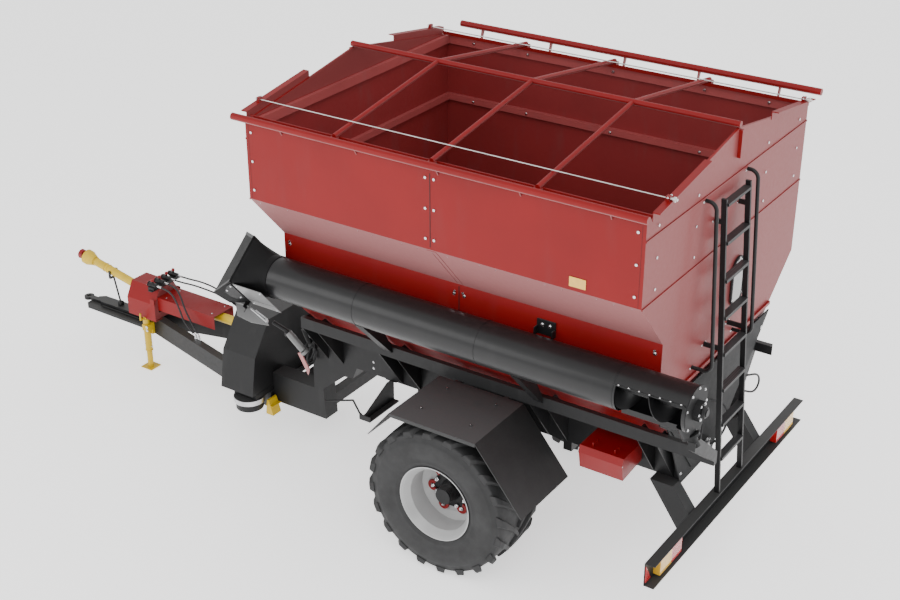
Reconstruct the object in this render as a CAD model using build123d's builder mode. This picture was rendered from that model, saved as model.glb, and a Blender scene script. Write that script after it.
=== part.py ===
"""Grain wagon with a folding unloading auger, one axle and an A shaped drawbar.

Millimetres. +X points forward to the hitch, +Y to the left, +Z up. The wagon stands on z = 0 with the middle
of its bounding box over the origin. The left side carries the auger.
"""
from math import atan2, cos, pi, radians, sin, tan
import os

from build123d import *

os.makedirs("parts", exist_ok=True)

# ---------------------------------------------------------------- driving dimensions
HITCH_REACH = 5680          # axle to the centre of the hitch eye
REAR_REACH = 2330           # axle to the rear end of the auger drive
EYE_BORE_R = 25
EYE_R = 55
EYE_T = 32
EYE_Z = 477
AXLE_X = (REAR_REACH - HITCH_REACH - EYE_R) / 2

TYRE_R = 710
TYRE_W = 600
RIM_R = 355
RIM_W = 545
WHEEL_Y = 1180
HUB_R = 150
AXLE_BEAM = 150
STUB_R = 45
BEARING_GAP = 0.05          # radial clearance of every running fit

HOPPER_L = 3660
HOPPER_W = 2970
RIM_Z = 3800
RIDGE_Z = 4066
SHEET = 5
PLATE = 12
LEFT_KNEE_Z = 3113          # where the left wall turns in
LOWER_WALL_Y = 1077
LOWER_WALL_Z = 2646
FUNNEL_Z = 2030             # where the left wall turns to the trough
RIGHT_KNEE_Z = 2436
RIGHT_BEND = (-682, 1809)
TROUGH_Y = 270
TROUGH_Z = 1365
TROUGH_R = 190
CROSS_H = 90

RAIL_Y = 600                # outer face of a chassis web
RAIL_TOP = 1490
RAIL_BOTTOM = TROUGH_Z - TROUGH_R
CROSS_XS = (1700, 720, 300, -300, -800, -1700)
NECK_INNER = RAIL_Y - 180   # inner face of a neck plate
SIDE_BEAM_Y = 950
SIDE_BEAM_Z = 1765
SIDE_BEAM_H = 110
SIDE_BEAM_T = 50
OUTRIGGER_PAIRS = ((1600, 1780), (720, 920), (-800, -620), (-1800, -1620))

TUBE_Y = 1300
TUBE_Z = 2327
TUBE_R = 184
TUBE_T = 4
TUBE_REAR = -2230
TUBE_FRONT = 1790
WINDOW = (-2200, -1650)     # intake of the auger tube, from the axle
HOOD_ROLL = 40              # how far the hood is turned about the tube
HOOD_MOUTH = 2020           # where the round tube has become the square mouth
HOOD_FRONT = 2280
HOOD_HALF = 230             # half width of the square mouth
HOOD_RISE = 200             # half height of the square mouth
HOOD_FLARE = 318            # half width of the deflector's front edge
HOOD_SHEET = 5
FLAP_PIN = (270, -225)      # hinge pin of the flap, across and away from the tube
FLAP_PIN_R = 8
FLAP_LUGS = (HOOD_MOUTH + 40, HOOD_MOUTH + 180)
SCREW_SHAFT_R = 30
SCREW_GAP = 14
SCREW_PITCH = 330
FLIGHT_T = 8
SWING_TILT = 30             # the swing axis leans back this far from upright
SWING_X = -2075
TURRET_DROP = 262           # from the tube's axis to the turret's joint face
TURRET_R = 72
TURRET_GAP = 0.5

BUMPER_X = -2100
BUMPER_Z = (753, 967)
BUMPER_W = 3011
BUMPER_D = 90
BUMPER_T = 6
LADDER_Y = (300, -150)
LADDER_FOOT_X = -2065
LADDER_TOP = (-1895, 3570)
TREAD_STEP = 320
FIRST_TREAD = 1280

DRAWBAR_Z = (400, 600)
DRAWBAR_W = 90
NECK_FRONT = 2550
GUARD_X = (2500, 2900)
SHAFT_Z = 800
SHAFT_R = 50
SHAFT_JOINT_X = 4700
YOKE_X = 5700
YOKE_Z = 1000
JACK_X = 4620
JACK_Y = 178
JACK_R = 38
JACK_LEG_R = 31
JACK_SLEEVE_Z = (205, 590)
FOOT_W = 150
FOOT_T = 10
SUPPORT_X = 5180            # foot of the shaft support
SUPPORT_Z = EYE_Z + 62
SUPPORT_PIN_R = 8
CABLE_Y = 1250
COUPLER_YS = (165, 60, -45, -150)
HOSE_R = 9
HOSE_START = 4422

LEFT = HOPPER_W / 2
FRONT_WALL = AXLE_X + HOPPER_L / 2
REAR_WALL = AXLE_X - HOPPER_L / 2
EYE_X = AXLE_X + HITCH_REACH
SHAFT_HOLE_R = SCREW_SHAFT_R + BEARING_GAP


# ---------------------------------------------------------------- shapes used many times
def block(x, y, z, mode=Mode.ADD):
    """A box between two corners, added to the part that is being built."""
    with Locations((sum(x) / 2, sum(y) / 2, sum(z) / 2)):
        Box(abs(x[1] - x[0]), abs(y[1] - y[0]), abs(z[1] - z[0]), mode=mode)


def slab(plane, points, depth, mode=Mode.ADD):
    """A plate of any outline on a plane."""
    with BuildSketch(plane) as outline:
        with BuildLine():
            Polyline(*points, close=True)
        make_face()
    extrude(outline.sketch, amount=depth, mode=mode)


def slab_yz(points, x, mode=Mode.ADD):
    """A plate whose outline is in Y and Z, from x[0] to x[1]."""
    slab(Plane.YZ.offset(min(x)), points, max(x) - min(x), mode)


def slab_xz(points, y, mode=Mode.ADD):
    """A plate whose outline is in X and Z, from y[0] to y[1]."""
    slab(Plane.XZ.offset(-max(y)), points, max(y) - min(y), mode)


def slab_xy(points, z, mode=Mode.ADD):
    """A plate whose outline is in X and Y, from z[0] to z[1]."""
    slab(Plane.XY.offset(min(z)), points, max(z) - min(z), mode)


def rod(start, end, radius, mode=Mode.ADD):
    """A round bar between two points."""
    reach = Vector(*end) - Vector(*start)
    with BuildSketch(Plane(origin=start, z_dir=reach)) as section:
        Circle(radius)
    extrude(section.sketch, amount=reach.length, mode=mode)


def bent_tube(points, bend, radius):
    """A round tube along straight runs with equal bends."""
    with BuildLine() as path:
        FilletPolyline(*points, radius=bend)
    with BuildSketch(Plane(origin=path.line @ 0, z_dir=path.line % 0)) as section:
        Circle(radius)
    sweep(section.sketch, path=path.line)


def save(piece, name):
    """Label a finished piece and write it as one STEP file."""
    piece.label = name
    export_step(piece, f"parts/{name}.step")


# ---------------------------------------------------------------- hopper
LEFT_PROFILE = [
    (LEFT, RIM_Z),
    (LEFT, LEFT_KNEE_Z),
    (LOWER_WALL_Y, LOWER_WALL_Z),
    (LOWER_WALL_Y, FUNNEL_Z),
    (TROUGH_Y + TROUGH_R, TROUGH_Z),
]
RIGHT_PROFILE = [
    (-LEFT, RIM_Z),
    (-LEFT, RIGHT_KNEE_Z),
    RIGHT_BEND,
    (TROUGH_Y - TROUGH_R, TROUGH_Z),
]
INSIDE_X = (REAR_WALL + SHEET, FRONT_WALL - SHEET)


def bent_wall(profile, toward):
    """A folded side wall of the hopper, as thick as the sheet towards the inside."""
    inner = []
    for index, (y, z) in enumerate(profile):
        before = profile[max(index - 1, 0)]
        after = profile[min(index + 1, len(profile) - 1)]
        first = Vector(y - before[0], z - before[1]) if index else Vector(after[0] - y, after[1] - z)
        second = Vector(after[0] - y, after[1] - z) if index < len(profile) - 1 else first
        first, second = first.normalized(), second.normalized()
        half = first.get_angle(second) / 2
        normal = (first + second).normalized().rotate(Axis.Z, toward * 90)
        reach = SHEET / cos(radians(half))
        inner.append((y + normal.X * reach, z + normal.Y * reach))
    slab_yz(profile + inner[::-1], INSIDE_X)


def end_outline():
    """Outline of an end wall above the trough."""
    return LEFT_PROFILE + RIGHT_PROFILE[::-1]


def build_hopper():
    with BuildPart() as left_wall:
        bent_wall(LEFT_PROFILE, -1)
    save(left_wall.part, "hopper_left")
    with BuildPart() as right_wall:
        bent_wall(RIGHT_PROFILE, 1)
    save(right_wall.part, "hopper_right")
    for name, x in (("front", (FRONT_WALL - SHEET, FRONT_WALL)), ("rear", (REAR_WALL, REAR_WALL + SHEET))):
        out = 1 if name == "front" else -1
        face = FRONT_WALL if name == "front" else REAR_WALL
        with BuildPart() as end_wall:
            slab_yz(end_outline(), x)
            rod((x[0], TROUGH_Y, TROUGH_Z), (x[1], TROUGH_Y, TROUGH_Z), TROUGH_R)
            rod((x[0], TROUGH_Y, TROUGH_Z), (x[1], TROUGH_Y, TROUGH_Z), SHAFT_HOLE_R, mode=Mode.SUBTRACT)
            for z in (LEFT_KNEE_Z, RIM_Z - 150):
                block((face, face + out * 8), (-LEFT, LEFT), (z - 12, z))
            block((face, face + out * 20), (-1040, LOWER_WALL_Y), (FUNNEL_Z + 60, FUNNEL_Z + 90))
        save(end_wall.part, f"hopper_{name}")
    with BuildPart() as trough:
        with BuildSketch(Plane.YZ.offset(REAR_WALL + SHEET)) as shell:
            with Locations((TROUGH_Y, TROUGH_Z)):
                Circle(TROUGH_R)
                Circle(TROUGH_R - SHEET, mode=Mode.SUBTRACT)
                Rectangle(3 * TROUGH_R, 2 * TROUGH_R, align=(Align.CENTER, Align.MIN), mode=Mode.SUBTRACT)
        extrude(shell.sketch, amount=HOPPER_L - 2 * SHEET)
    save(trough.part, "trough")


def build_inner_rails():
    """Angle rails half way up the walls and just under the rim."""
    inner = LEFT - SHEET
    t = SHEET
    with BuildPart() as rails:
        for z, width, height in ((LEFT_KNEE_Z + 30, 45, 60), (RIM_Z - 90, 40, 80)):
            top = z + height
            for side in (1, -1):
                edge = side * (inner - width)
                block(INSIDE_X, (side * inner, edge), (top - t, top))
                block(INSIDE_X, (edge + side * t, edge), (z, top))
            for wall, out in ((INSIDE_X[0], 1), (INSIDE_X[1], -1)):
                edge = wall + out * width
                block((wall, edge), (width - inner, inner - width), (top - t, top))
                block((edge - out * t, edge), (width - inner, inner - width), (z, top))
    save(rails.part, "inner_rails")


def bolt_x(x, y, z, out, radius=11, height=9):
    """A bolt head on a face that looks forward or back."""
    rod((x, y, z), (x + out * height, y, z), radius)


def bolt_y(x, y, z, out, radius=11, height=9):
    """A bolt head on a face that looks left or right."""
    rod((x, y, z), (x, y + out * height, z), radius)


def build_panel_bolts():
    """Bolt heads along the wall seams, all of them one group."""
    upper_rows = (LEFT_KNEE_Z + 90, (LEFT_KNEE_Z + RIM_Z) / 2, RIM_Z - 90)
    with BuildPart() as bolts:
        for z in upper_rows:
            for x in (FRONT_WALL - 60, AXLE_X + 40, AXLE_X - 40, REAR_WALL + 60):
                for side in (1, -1):
                    bolt_y(x, side * LEFT, z, side)
        for x in (FRONT_WALL - 60, AXLE_X + 40, AXLE_X - 40, REAR_WALL + 60):
            bolt_y(x, LOWER_WALL_Y, LOWER_WALL_Z - 70, 1)
        for y in (-1300, -650, 0, 650, 1300):
            for z in upper_rows:
                bolt_x(FRONT_WALL, y, z, 1)
                if y:
                    bolt_x(REAR_WALL, y, z, -1)
    save(bolts.part, "panel_bolts")


def build_roof():
    gable_half = LEFT - 80
    ridge_r = 26
    rafter_r = 21
    gable_top = RIDGE_Z - ridge_r
    with BuildPart() as gables:
        for x in ((FRONT_WALL - SHEET, FRONT_WALL + 15), (REAR_WALL - 15, REAR_WALL + SHEET)):
            slab_yz([(gable_half, RIM_Z), (0, gable_top), (-gable_half, RIM_Z)], x)
            middle = sum(x) / 2
            out = 1 if middle > AXLE_X else -1
            block((middle, middle + out * 40), (-15, 15), (RIM_Z, gable_top - 12))
    save(gables.part, "gables")
    rim_end = (LEFT - 24, RIM_Z + 45)
    slope = atan2(RIDGE_Z - rim_end[1], rim_end[0])
    with BuildPart() as roof:
        rod((REAR_WALL - 20, 0, RIDGE_Z), (FRONT_WALL + 20, 0, RIDGE_Z), ridge_r)
        for side in (1, -1):
            for offset in (930, 0, -930):
                seat = ridge_r - 4
                start = (AXLE_X + offset, side * seat * cos(slope), RIDGE_Z - seat * sin(slope))
                rod(start, (AXLE_X + offset, side * rim_end[0], rim_end[1]), rafter_r)
                block(
                    (AXLE_X + offset - 30, AXLE_X + offset + 30),
                    (side * (LEFT - 50), side * LEFT),
                    (RIM_Z, RIM_Z + 40),
                )
    save(roof.part, "roof_frame")
    return slope


def build_rim(slope):
    tube_r = 30
    low = (LEFT + 8 - tube_r, RIM_Z + tube_r)
    raised_z = RIM_Z + 100
    with BuildPart() as rims:
        block((REAR_WALL, FRONT_WALL), (LEFT - 78, LEFT - 68), (RIM_Z, RIM_Z + 30))
        block((REAR_WALL, FRONT_WALL), (68 - LEFT, 78 - LEFT), (RIM_Z, RIM_Z + 30))
        rod((REAR_WALL - 30, LEFT + 38, low[1]), (FRONT_WALL + 100, LEFT + 38, low[1]), tube_r)
        rod((REAR_WALL - 90, -LEFT - 38, raised_z), (FRONT_WALL - 135, -LEFT - 38, raised_z), tube_r)
        for offset in (1500, 750, -20, -750, -1500):
            x = (AXLE_X + offset - 60, AXLE_X + offset - 50)
            slab_yz([(LEFT, RIM_Z - 50), (LEFT + 36, low[1] - 20), (LEFT + 36, low[1]), (LEFT, RIM_Z)], x)
            arm = [
                (-LEFT, RIM_Z - 60),
                (-LEFT - 64, raised_z),
                (-LEFT - 12, raised_z),
                (10 - LEFT, RIM_Z),
                (-LEFT, RIM_Z),
            ]
            slab_yz(arm, x)
    save(rims.part, "rim_tubes")
    with BuildPart() as brackets:
        for face, out in ((FRONT_WALL + 15, 1), (REAR_WALL - 15, -1)):
            for side in (1, -1):
                ends = []
                for y in (620, 1440):
                    ends.append((side * y, RIDGE_Z + 14 - y * tan(slope)))
                web = [*ends, (ends[1][0], ends[1][1] - 70), (ends[0][0], ends[0][1] - 70)]
                slab_yz(web, (face, face + out * 6))
                shelf = [*ends, (ends[1][0], ends[1][1] - 8), (ends[0][0], ends[0][1] - 8)]
                slab_yz(shelf, (face, face + out * 60))
                cable_z = RIDGE_Z + 30 - CABLE_Y * tan(slope)
                anchor_y = (side * CABLE_Y - 20, side * CABLE_Y + 20)
                block((face + out * 10, face + out * 40), anchor_y, (cable_z - 30, cable_z + 20))
    save(brackets.part, "tarp_brackets")
    with BuildPart() as cables:
        for side in (1, -1):
            cable_z = RIDGE_Z + 30 - CABLE_Y * tan(slope)
            rod((REAR_WALL - 25, side * CABLE_Y, cable_z), (FRONT_WALL + 25, side * CABLE_Y, cable_z), 5)
            rod((REAR_WALL - 110, side * CABLE_Y, cable_z), (REAR_WALL - 55, side * CABLE_Y, cable_z), 10)
            rod((REAR_WALL - 95, side * CABLE_Y, cable_z), (REAR_WALL - 80, side * CABLE_Y, cable_z), 20)
    save(cables.part, "tarp_cables")


def build_sight_glass():
    with BuildPart() as glass:
        with BuildSketch(Plane.YZ.offset(REAR_WALL - 18)) as oval:
            with Locations((-250, 2640)):
                SlotOverall(400, 190, rotation=90)
        extrude(oval.sketch, amount=18)
    save(glass.part, "sight_glass")


# ---------------------------------------------------------------- chassis
def build_chassis():
    rail_ends = (REAR_WALL - 20, FRONT_WALL + 20)
    with BuildPart() as rails:
        for side in (1, -1):
            block(rail_ends, (side * (RAIL_Y - PLATE), side * RAIL_Y), (RAIL_BOTTOM, RAIL_TOP))
            flange_y = (side * (RAIL_Y - 80), side * (RAIL_Y - PLATE))
            block(rail_ends, flange_y, (RAIL_BOTTOM, RAIL_BOTTOM + PLATE))
            beam_x = (AXLE_X - 1950, AXLE_X + 1800)
            outer = SIDE_BEAM_Y
            block(beam_x, (side * (outer - 8), side * outer), (SIDE_BEAM_Z - SIDE_BEAM_H, SIDE_BEAM_Z))
            block(beam_x, (side * (outer - SIDE_BEAM_T), side * (outer - 8)), (SIDE_BEAM_Z - 8, SIDE_BEAM_Z))
    save(rails.part, "chassis_rails")
    with BuildPart() as cross:
        top = RAIL_BOTTOM
        for offset in CROSS_XS:
            x = (AXLE_X + offset - 40, AXLE_X + offset + 40)
            half = NECK_INNER if offset == CROSS_XS[0] else RAIL_Y
            block(x, (-half, half), (top - CROSS_H, top))
    save(cross.part, "cross_members")
    with BuildPart() as outriggers:
        for pair in OUTRIGGER_PAIRS:
            for offset in pair:
                x = (AXLE_X + offset, AXLE_X + offset + 8)
                outline = [
                    (RAIL_Y, RAIL_BOTTOM),
                    (SIDE_BEAM_Y, SIDE_BEAM_Z - SIDE_BEAM_H),
                    (SIDE_BEAM_Y - 8, SIDE_BEAM_Z - SIDE_BEAM_H),
                    (SIDE_BEAM_Y - 8, SIDE_BEAM_Z - 8),
                    (SIDE_BEAM_Y - 110, SIDE_BEAM_Z - 8),
                    (RAIL_Y, RAIL_TOP),
                ]
                slab_yz(outline, x)
                slab_yz([(-y, z) for y, z in outline], x)
        for pair in OUTRIGGER_PAIRS[1:3]:
            x = (AXLE_X + pair[0] + 60, AXLE_X + pair[1] - 50)
            top = TUBE_Z - TUBE_R - 1
            cradle = [
                (SIDE_BEAM_Y, SIDE_BEAM_Z - 60),
                (TUBE_Y + 60, top),
                (TUBE_Y - 60, top),
                (LOWER_WALL_Y + 18, FUNNEL_Z - 10),
                (SIDE_BEAM_Y, SIDE_BEAM_Z),
            ]
            slab_yz(cradle, x)
    save(outriggers.part, "outriggers")
    with BuildPart() as rear_plate:
        x = (REAR_WALL - 32, REAR_WALL - 20)
        outline = [
            (RAIL_Y, RAIL_BOTTOM - 30),
            (RAIL_Y, RAIL_BOTTOM),
            (RAIL_Y + 20, RAIL_BOTTOM),
            (SIDE_BEAM_Y - 60, SIDE_BEAM_Z - 10),
            (LOWER_WALL_Y, FUNNEL_Z + 30),
            (-1000, FUNNEL_Z + 30),
            (-720, 1790),
            (-300, 1400),
            (-100, 1290),
            (20, RAIL_BOTTOM - 30),
        ]
        slab_yz(outline, x)
        housing = [
            (TROUGH_Y - 150, TROUGH_Z - 150),
            (TROUGH_Y + 160, TROUGH_Z - 150),
            (SIDE_BEAM_Y - SIDE_BEAM_T - 20, SIDE_BEAM_Z + 25),
            (LOWER_WALL_Y + 40, 1960),
            (LOWER_WALL_Y - 90, 2040),
            (TROUGH_Y - 150, TROUGH_Z + 160),
        ]
        slab_yz(housing, (x[0] - 10, x[0]))
        with BuildSketch(Plane.YZ.offset(x[0] - 10)) as hole:
            with Locations((TROUGH_Y, TROUGH_Z)):
                Circle(SHAFT_HOLE_R)
        extrude(hole.sketch, amount=22, mode=Mode.SUBTRACT)
        for y in (880, 300, -300):
            block((x[1], x[1] + 20), (y, y + 60), (FUNNEL_Z - 40, FUNNEL_Z + 20))
    save(rear_plate.part, "rear_plate")
    with BuildPart() as bearing:
        with BuildSketch(Plane.YZ.offset(REAR_WALL - 92)) as flange:
            with Locations((TROUGH_Y, TROUGH_Z)):
                RegularPolygon(75, 6)
                Circle(SHAFT_HOLE_R, mode=Mode.SUBTRACT)
        extrude(flange.sketch, amount=50)
    save(bearing.part, "bottom_bearing")


def build_axle():
    x = (AXLE_X - AXLE_BEAM / 2, AXLE_X + AXLE_BEAM / 2)
    inner_face = WHEEL_Y - TYRE_W / 2 - 60
    with BuildPart() as axle:
        block(x, (-inner_face, inner_face), (TYRE_R - AXLE_BEAM / 2, TYRE_R + AXLE_BEAM / 2))
        for side in (1, -1):
            rod((AXLE_X, side * inner_face, TYRE_R), (AXLE_X, side * (WHEEL_Y + 120), TYRE_R), STUB_R)
            foot = (TYRE_R + AXLE_BEAM / 2, RAIL_BOTTOM)
            slab_xz(
                [
                    (AXLE_X - 100, foot[0]),
                    (AXLE_X + 100, foot[0]),
                    (AXLE_X + 220, foot[1]),
                    (AXLE_X - 220, foot[1]),
                ],
                (side * (RAIL_Y - 70), side * RAIL_Y),
            )
    save(axle.part, "axle_beam")


def build_fenders():
    top = 1489
    t = 6
    inner, outer = 731, 1496
    arc = [
        (AXLE_X + 660, 1207),
        (AXLE_X + 431, top),
        (AXLE_X - 431, top),
        (AXLE_X - 890, 922),
    ]
    lower = [
        (AXLE_X - 890 + 8, 922 - 4),
        (AXLE_X - 431 + 3, top - t),
        (AXLE_X + 431 - 3, top - t),
        (AXLE_X + 660 - 6, 1207 - 5),
    ]
    with BuildPart() as fenders:
        for side in (1, -1):
            slab_xz(arc + lower, (side * inner, side * outer))
            for offset in (250, -250):
                x = (AXLE_X + offset - 25, AXLE_X + offset + 25)
                block(x, (side * RAIL_Y, side * (outer - 150)), (top - t - 40, top - t))
                for y in (inner + 150, outer - 220):
                    rod((AXLE_X + offset, side * y, top), (AXLE_X + offset, side * y, top + 8), 11)
    save(fenders.part, "fenders")


def build_bumper():
    rear, front = AXLE_X + BUMPER_X, AXLE_X + BUMPER_X + BUMPER_D
    half = BUMPER_W / 2
    low, high = BUMPER_Z
    with BuildPart() as bumper:
        block((rear, front), (-half, half), (high - BUMPER_T, high))
        block((rear, front), (-half, half), (low, low + BUMPER_T))
        block((front - BUMPER_T, front), (-half, half), (low, high))
        for side in (1, -1):
            arm = [
                (AXLE_X - 1640, RAIL_BOTTOM),
                (REAR_WALL - 20, RAIL_BOTTOM),
                (front, high - 10),
                (front, low + 20),
                (front + 90, low + 20),
            ]
            slab_xz(arm, (side * RAIL_Y, side * (RAIL_Y + 120)))
    save(bumper.part, "bumper")
    web = front - BUMPER_T
    lamp_z = (low + BUMPER_T + 18, high - BUMPER_T - 30)
    with BuildPart() as red:
        for side in (1, -1):
            block((web, web - 60), (side * 970, side * 1150), lamp_z)
            slab_yz(
                [(side * 1405, lamp_z[0]), (side * 1495, lamp_z[0]), (side * 1495, lamp_z[1])],
                (web - 8, web),
            )
    save(red.part, "lamp_red")
    with BuildPart() as amber:
        for side in (1, -1):
            block((web, web - 60), (side * 1150, side * 1350), lamp_z)
    save(amber.part, "lamp_amber")


def build_ladder():
    foot_z = BUMPER_Z[1]
    lean = (LADDER_TOP[0] - LADDER_FOOT_X) / (LADDER_TOP[1] - foot_z)
    with BuildPart() as ladder:
        for y in LADDER_Y:
            slab_xz(
                [
                    (AXLE_X + LADDER_FOOT_X - 22, foot_z),
                    (AXLE_X + LADDER_FOOT_X + 22, foot_z),
                    (AXLE_X + LADDER_TOP[0] + 22, LADDER_TOP[1]),
                    (AXLE_X + LADDER_TOP[0] - 22, LADDER_TOP[1]),
                ],
                (y - 12, y + 12),
            )
            for z in (2300, 3380):
                x = AXLE_X + LADDER_FOOT_X + lean * (z - foot_z)
                block((x + 20, REAR_WALL), (y - 8, y + 8), (z - 20, z + 20))
        treads = int((LADDER_TOP[1] - FIRST_TREAD) / TREAD_STEP) + 1
        for index in range(treads):
            z = FIRST_TREAD + index * TREAD_STEP
            x = AXLE_X + LADDER_FOOT_X + lean * (z - foot_z)
            block((x - 32, x + 32), (LADDER_Y[1] + 12, LADDER_Y[0] - 12), (z - 12, z + 12))
        for y in (LADDER_Y[0] + 200, LADDER_Y[1] - 120):
            low_z, high_z = 2180, 3612
            out = -75
            points = [
                (REAR_WALL, y, low_z),
                (AXLE_X + LADDER_FOOT_X + lean * (low_z - foot_z) + out + 60, y, low_z),
                (AXLE_X + LADDER_TOP[0] + out + 50, y, high_z),
                (REAR_WALL, y, high_z),
            ]
            bent_tube(points, 70, 16)
    save(ladder.part, "ladder")


# ---------------------------------------------------------------- neck, drawbar and drive
def build_neck():
    with BuildPart() as neck:
        for side in (1, -1):
            outline = [
                (AXLE_X + NECK_FRONT - 60, 490),
                (AXLE_X + NECK_FRONT - 60, 800),
                (AXLE_X + 1970, 800),
                (FRONT_WALL + 140, RAIL_TOP),
                (FRONT_WALL + 20, RAIL_TOP),
                (FRONT_WALL + 20, RAIL_BOTTOM),
                (AXLE_X + 1450, RAIL_BOTTOM),
                (AXLE_X + 1500, 1050),
                (AXLE_X + 1600, 1040),
                (AXLE_X + 1860, 820),
                (AXLE_X + 1840, 490),
            ]
            slab_xz(outline, (side * NECK_INNER, side * RAIL_Y))
        block((AXLE_X + 1900, AXLE_X + 2000), (-NECK_INNER, NECK_INNER), (520, 640))
        block((AXLE_X + 2300, AXLE_X + 2420), (-NECK_INNER, NECK_INNER), (520, 640))
    save(neck.part, "neck_frame")


def beam_y(offset):
    """How far the middle of a drawbar beam is from the centre line at a place along the wagon."""
    nose_x, nose_y = 4700, 45
    return nose_y + (nose_x - offset) * 0.25


def build_drawbar():
    low, high = DRAWBAR_Z
    rear = NECK_FRONT - 60
    half = DRAWBAR_W / 2
    with BuildPart() as frame:
        for side in (1, -1):
            outline = [
                (AXLE_X + rear, side * (beam_y(rear) - half)),
                (AXLE_X + rear, side * (beam_y(rear) + half)),
                (AXLE_X + 4700, side * (beam_y(4700) + half)),
                (AXLE_X + 4700, side * (beam_y(4700) - half)),
            ]
            slab_xy(outline, (low, high))
        tie = beam_y(3190) - half
        block((AXLE_X + 3150, AXLE_X + 3230), (-tie, tie), (low + 40, high - 40))
        nose = [
            (AXLE_X + 5560, 140),
            (AXLE_X + 4700, 150),
            (AXLE_X + 4700, -150),
            (AXLE_X + 5560, -140),
            (AXLE_X + 5620, -90),
            (AXLE_X + 5620, 90),
        ]
        slab_xy(nose, (EYE_Z - EYE_T / 2 - 30, EYE_Z - EYE_T / 2))
        block((AXLE_X + 4700, AXLE_X + 5440), (-60, 60), (EYE_Z - EYE_T / 2, EYE_Z + 34))
        block((AXLE_X + 4640, AXLE_X + 4700), (-90, 90), (low, high))
        foot = AXLE_X + SUPPORT_X
        for side in (1, -1):
            block((foot - 22, foot + 22), (side * 17, side * 25), (EYE_Z + 34, SUPPORT_Z + 20))
        rod((foot, -25, SUPPORT_Z), (foot, 25, SUPPORT_Z), SUPPORT_PIN_R)
    save(frame.part, "drawbar_frame")
    with BuildPart() as eye:
        with BuildSketch(Plane.XY.offset(EYE_Z - EYE_T / 2)) as outline:
            with Locations((EYE_X, 0)):
                Circle(EYE_R)
            with Locations((EYE_X - EYE_R - 70, 0)):
                Rectangle(200, 60)
            with Locations((EYE_X, 0)):
                Circle(EYE_BORE_R, mode=Mode.SUBTRACT)
        extrude(outline.sketch, amount=EYE_T)
    save(eye.part, "hitch_eye")


def build_drive():
    outer = [(900, 660), (830, 1050), (600, 1380), (-200, 1380), (-350, 1200), (-350, 660)]
    t = 5
    inner = [
        (900 - t, 660),
        (830 - t, 1050 - t),
        (600 - t, 1380 - t),
        (t - 200, 1380 - t),
        (t - 350, 1200 - t),
        (t - 350, 660),
    ]
    front, rear = AXLE_X + GUARD_X[1], AXLE_X + GUARD_X[0]
    with BuildPart() as guard:
        slab_yz(outer, (rear, front))
        slab_yz(inner, (rear + t, front - t), mode=Mode.SUBTRACT)
        rod((front - 2 * t, 0, SHAFT_Z), (front + t, 0, SHAFT_Z), SHAFT_R + 20, mode=Mode.SUBTRACT)
    save(guard.part, "drive_guard")
    with BuildPart() as gearbox:
        block((rear + 30, rear + 260), (-110, 110), (SHAFT_Z - 140, SHAFT_Z + 160))
        rod((rear + 260, 0, SHAFT_Z), (rear + 300, 0, SHAFT_Z), 70)
        block((AXLE_X + NECK_FRONT - 60, rear + 230), (-200, 200), (600, SHAFT_Z - 140))
        rod((rear + 300, 0, SHAFT_Z), (rear + 320, 0, SHAFT_Z), SHAFT_R - 12)
        rod((rear + 260, 0, SHAFT_Z), (rear + 420, 0, SHAFT_Z), 20 + BEARING_GAP, mode=Mode.SUBTRACT)
        for y in (-600 + 180, 600 - 180 - 60):
            block((AXLE_X + NECK_FRONT - 60, rear + 30), (y, y + 60), (600, 655))
    save(gearbox.part, "gearbox")
    with BuildPart() as damper:
        low, high = DRAWBAR_Z
        x, y = AXLE_X + 2640, RAIL_Y + 190
        rod((x, y, low + 70), (x, y, low + 140), 135)
        rod((x, y, low + 140), (x, y, high), 150)
        block((x - 140, x + 140), (RAIL_Y - 40, y + 60), (high, high + 55))
    save(damper.part, "drawbar_damper")
    with BuildPart() as chock:
        slab_xz(
            [(AXLE_X + 2400, 400), (AXLE_X + 2490, 400), (AXLE_X + 2470, 560), (AXLE_X + 2450, 560)],
            (RAIL_Y + 10, RAIL_Y + 130),
        )
        block((AXLE_X + 2400, AXLE_X + 2490), (RAIL_Y, RAIL_Y + 130), (494, 500))
    save(chock.part, "wheel_chock")


def build_shaft_cover():
    half, top, depth, t = 150, 872, 150, 4
    bell = (4450, 4850)
    with BuildPart() as cover:
        x = (AXLE_X + 3650, AXLE_X + bell[0])
        block(x, (-half, half), (top - depth, top))
        block((x[0] - 1, x[1] + 1), (t - half, half - t), (top - depth - 1, top - t), mode=Mode.SUBTRACT)
        outer = [(200, 600), (200, 800), (110, 960), (-110, 960), (-200, 800), (-200, 600)]
        inner = [
            (200 - t, 599),
            (200 - t, 800 - t),
            (110 - t, 960 - t),
            (t - 110, 960 - t),
            (t - 200, 800 - t),
            (t - 200, 599),
        ]
        slab_yz(outer, (AXLE_X + bell[0], AXLE_X + bell[1]))
        slab_yz(inner, (AXLE_X + bell[0] - 1, AXLE_X + bell[1] + 1), mode=Mode.SUBTRACT)
        back = [(200, 620), (200, 800), (110, 960), (-110, 960), (-200, 800), (-200, 620)]
        slab_yz(back, (AXLE_X + bell[0], AXLE_X + bell[0] + t))
        slab_yz(
            [
                (half - t, top - depth - 30),
                (half - t, top - t),
                (t - half, top - t),
                (t - half, top - depth - 30),
            ],
            (AXLE_X + bell[0] - 1, AXLE_X + bell[0] + t + 1),
            mode=Mode.SUBTRACT,
        )
        for side in (1, -1):
            slab_yz(
                [
                    (side * 200, 610),
                    (side * 204, 610),
                    (side * 204, 860),
                    (side * 200, 800),
                ],
                (AXLE_X + bell[0], AXLE_X + bell[0] + 60),
            )
            block(
                (AXLE_X + bell[0], AXLE_X + bell[0] + 60),
                (side * 100, side * 200),
                (DRAWBAR_Z[1], DRAWBAR_Z[1] + 6),
            )
    save(cover.part, "shaft_cover")


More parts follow.
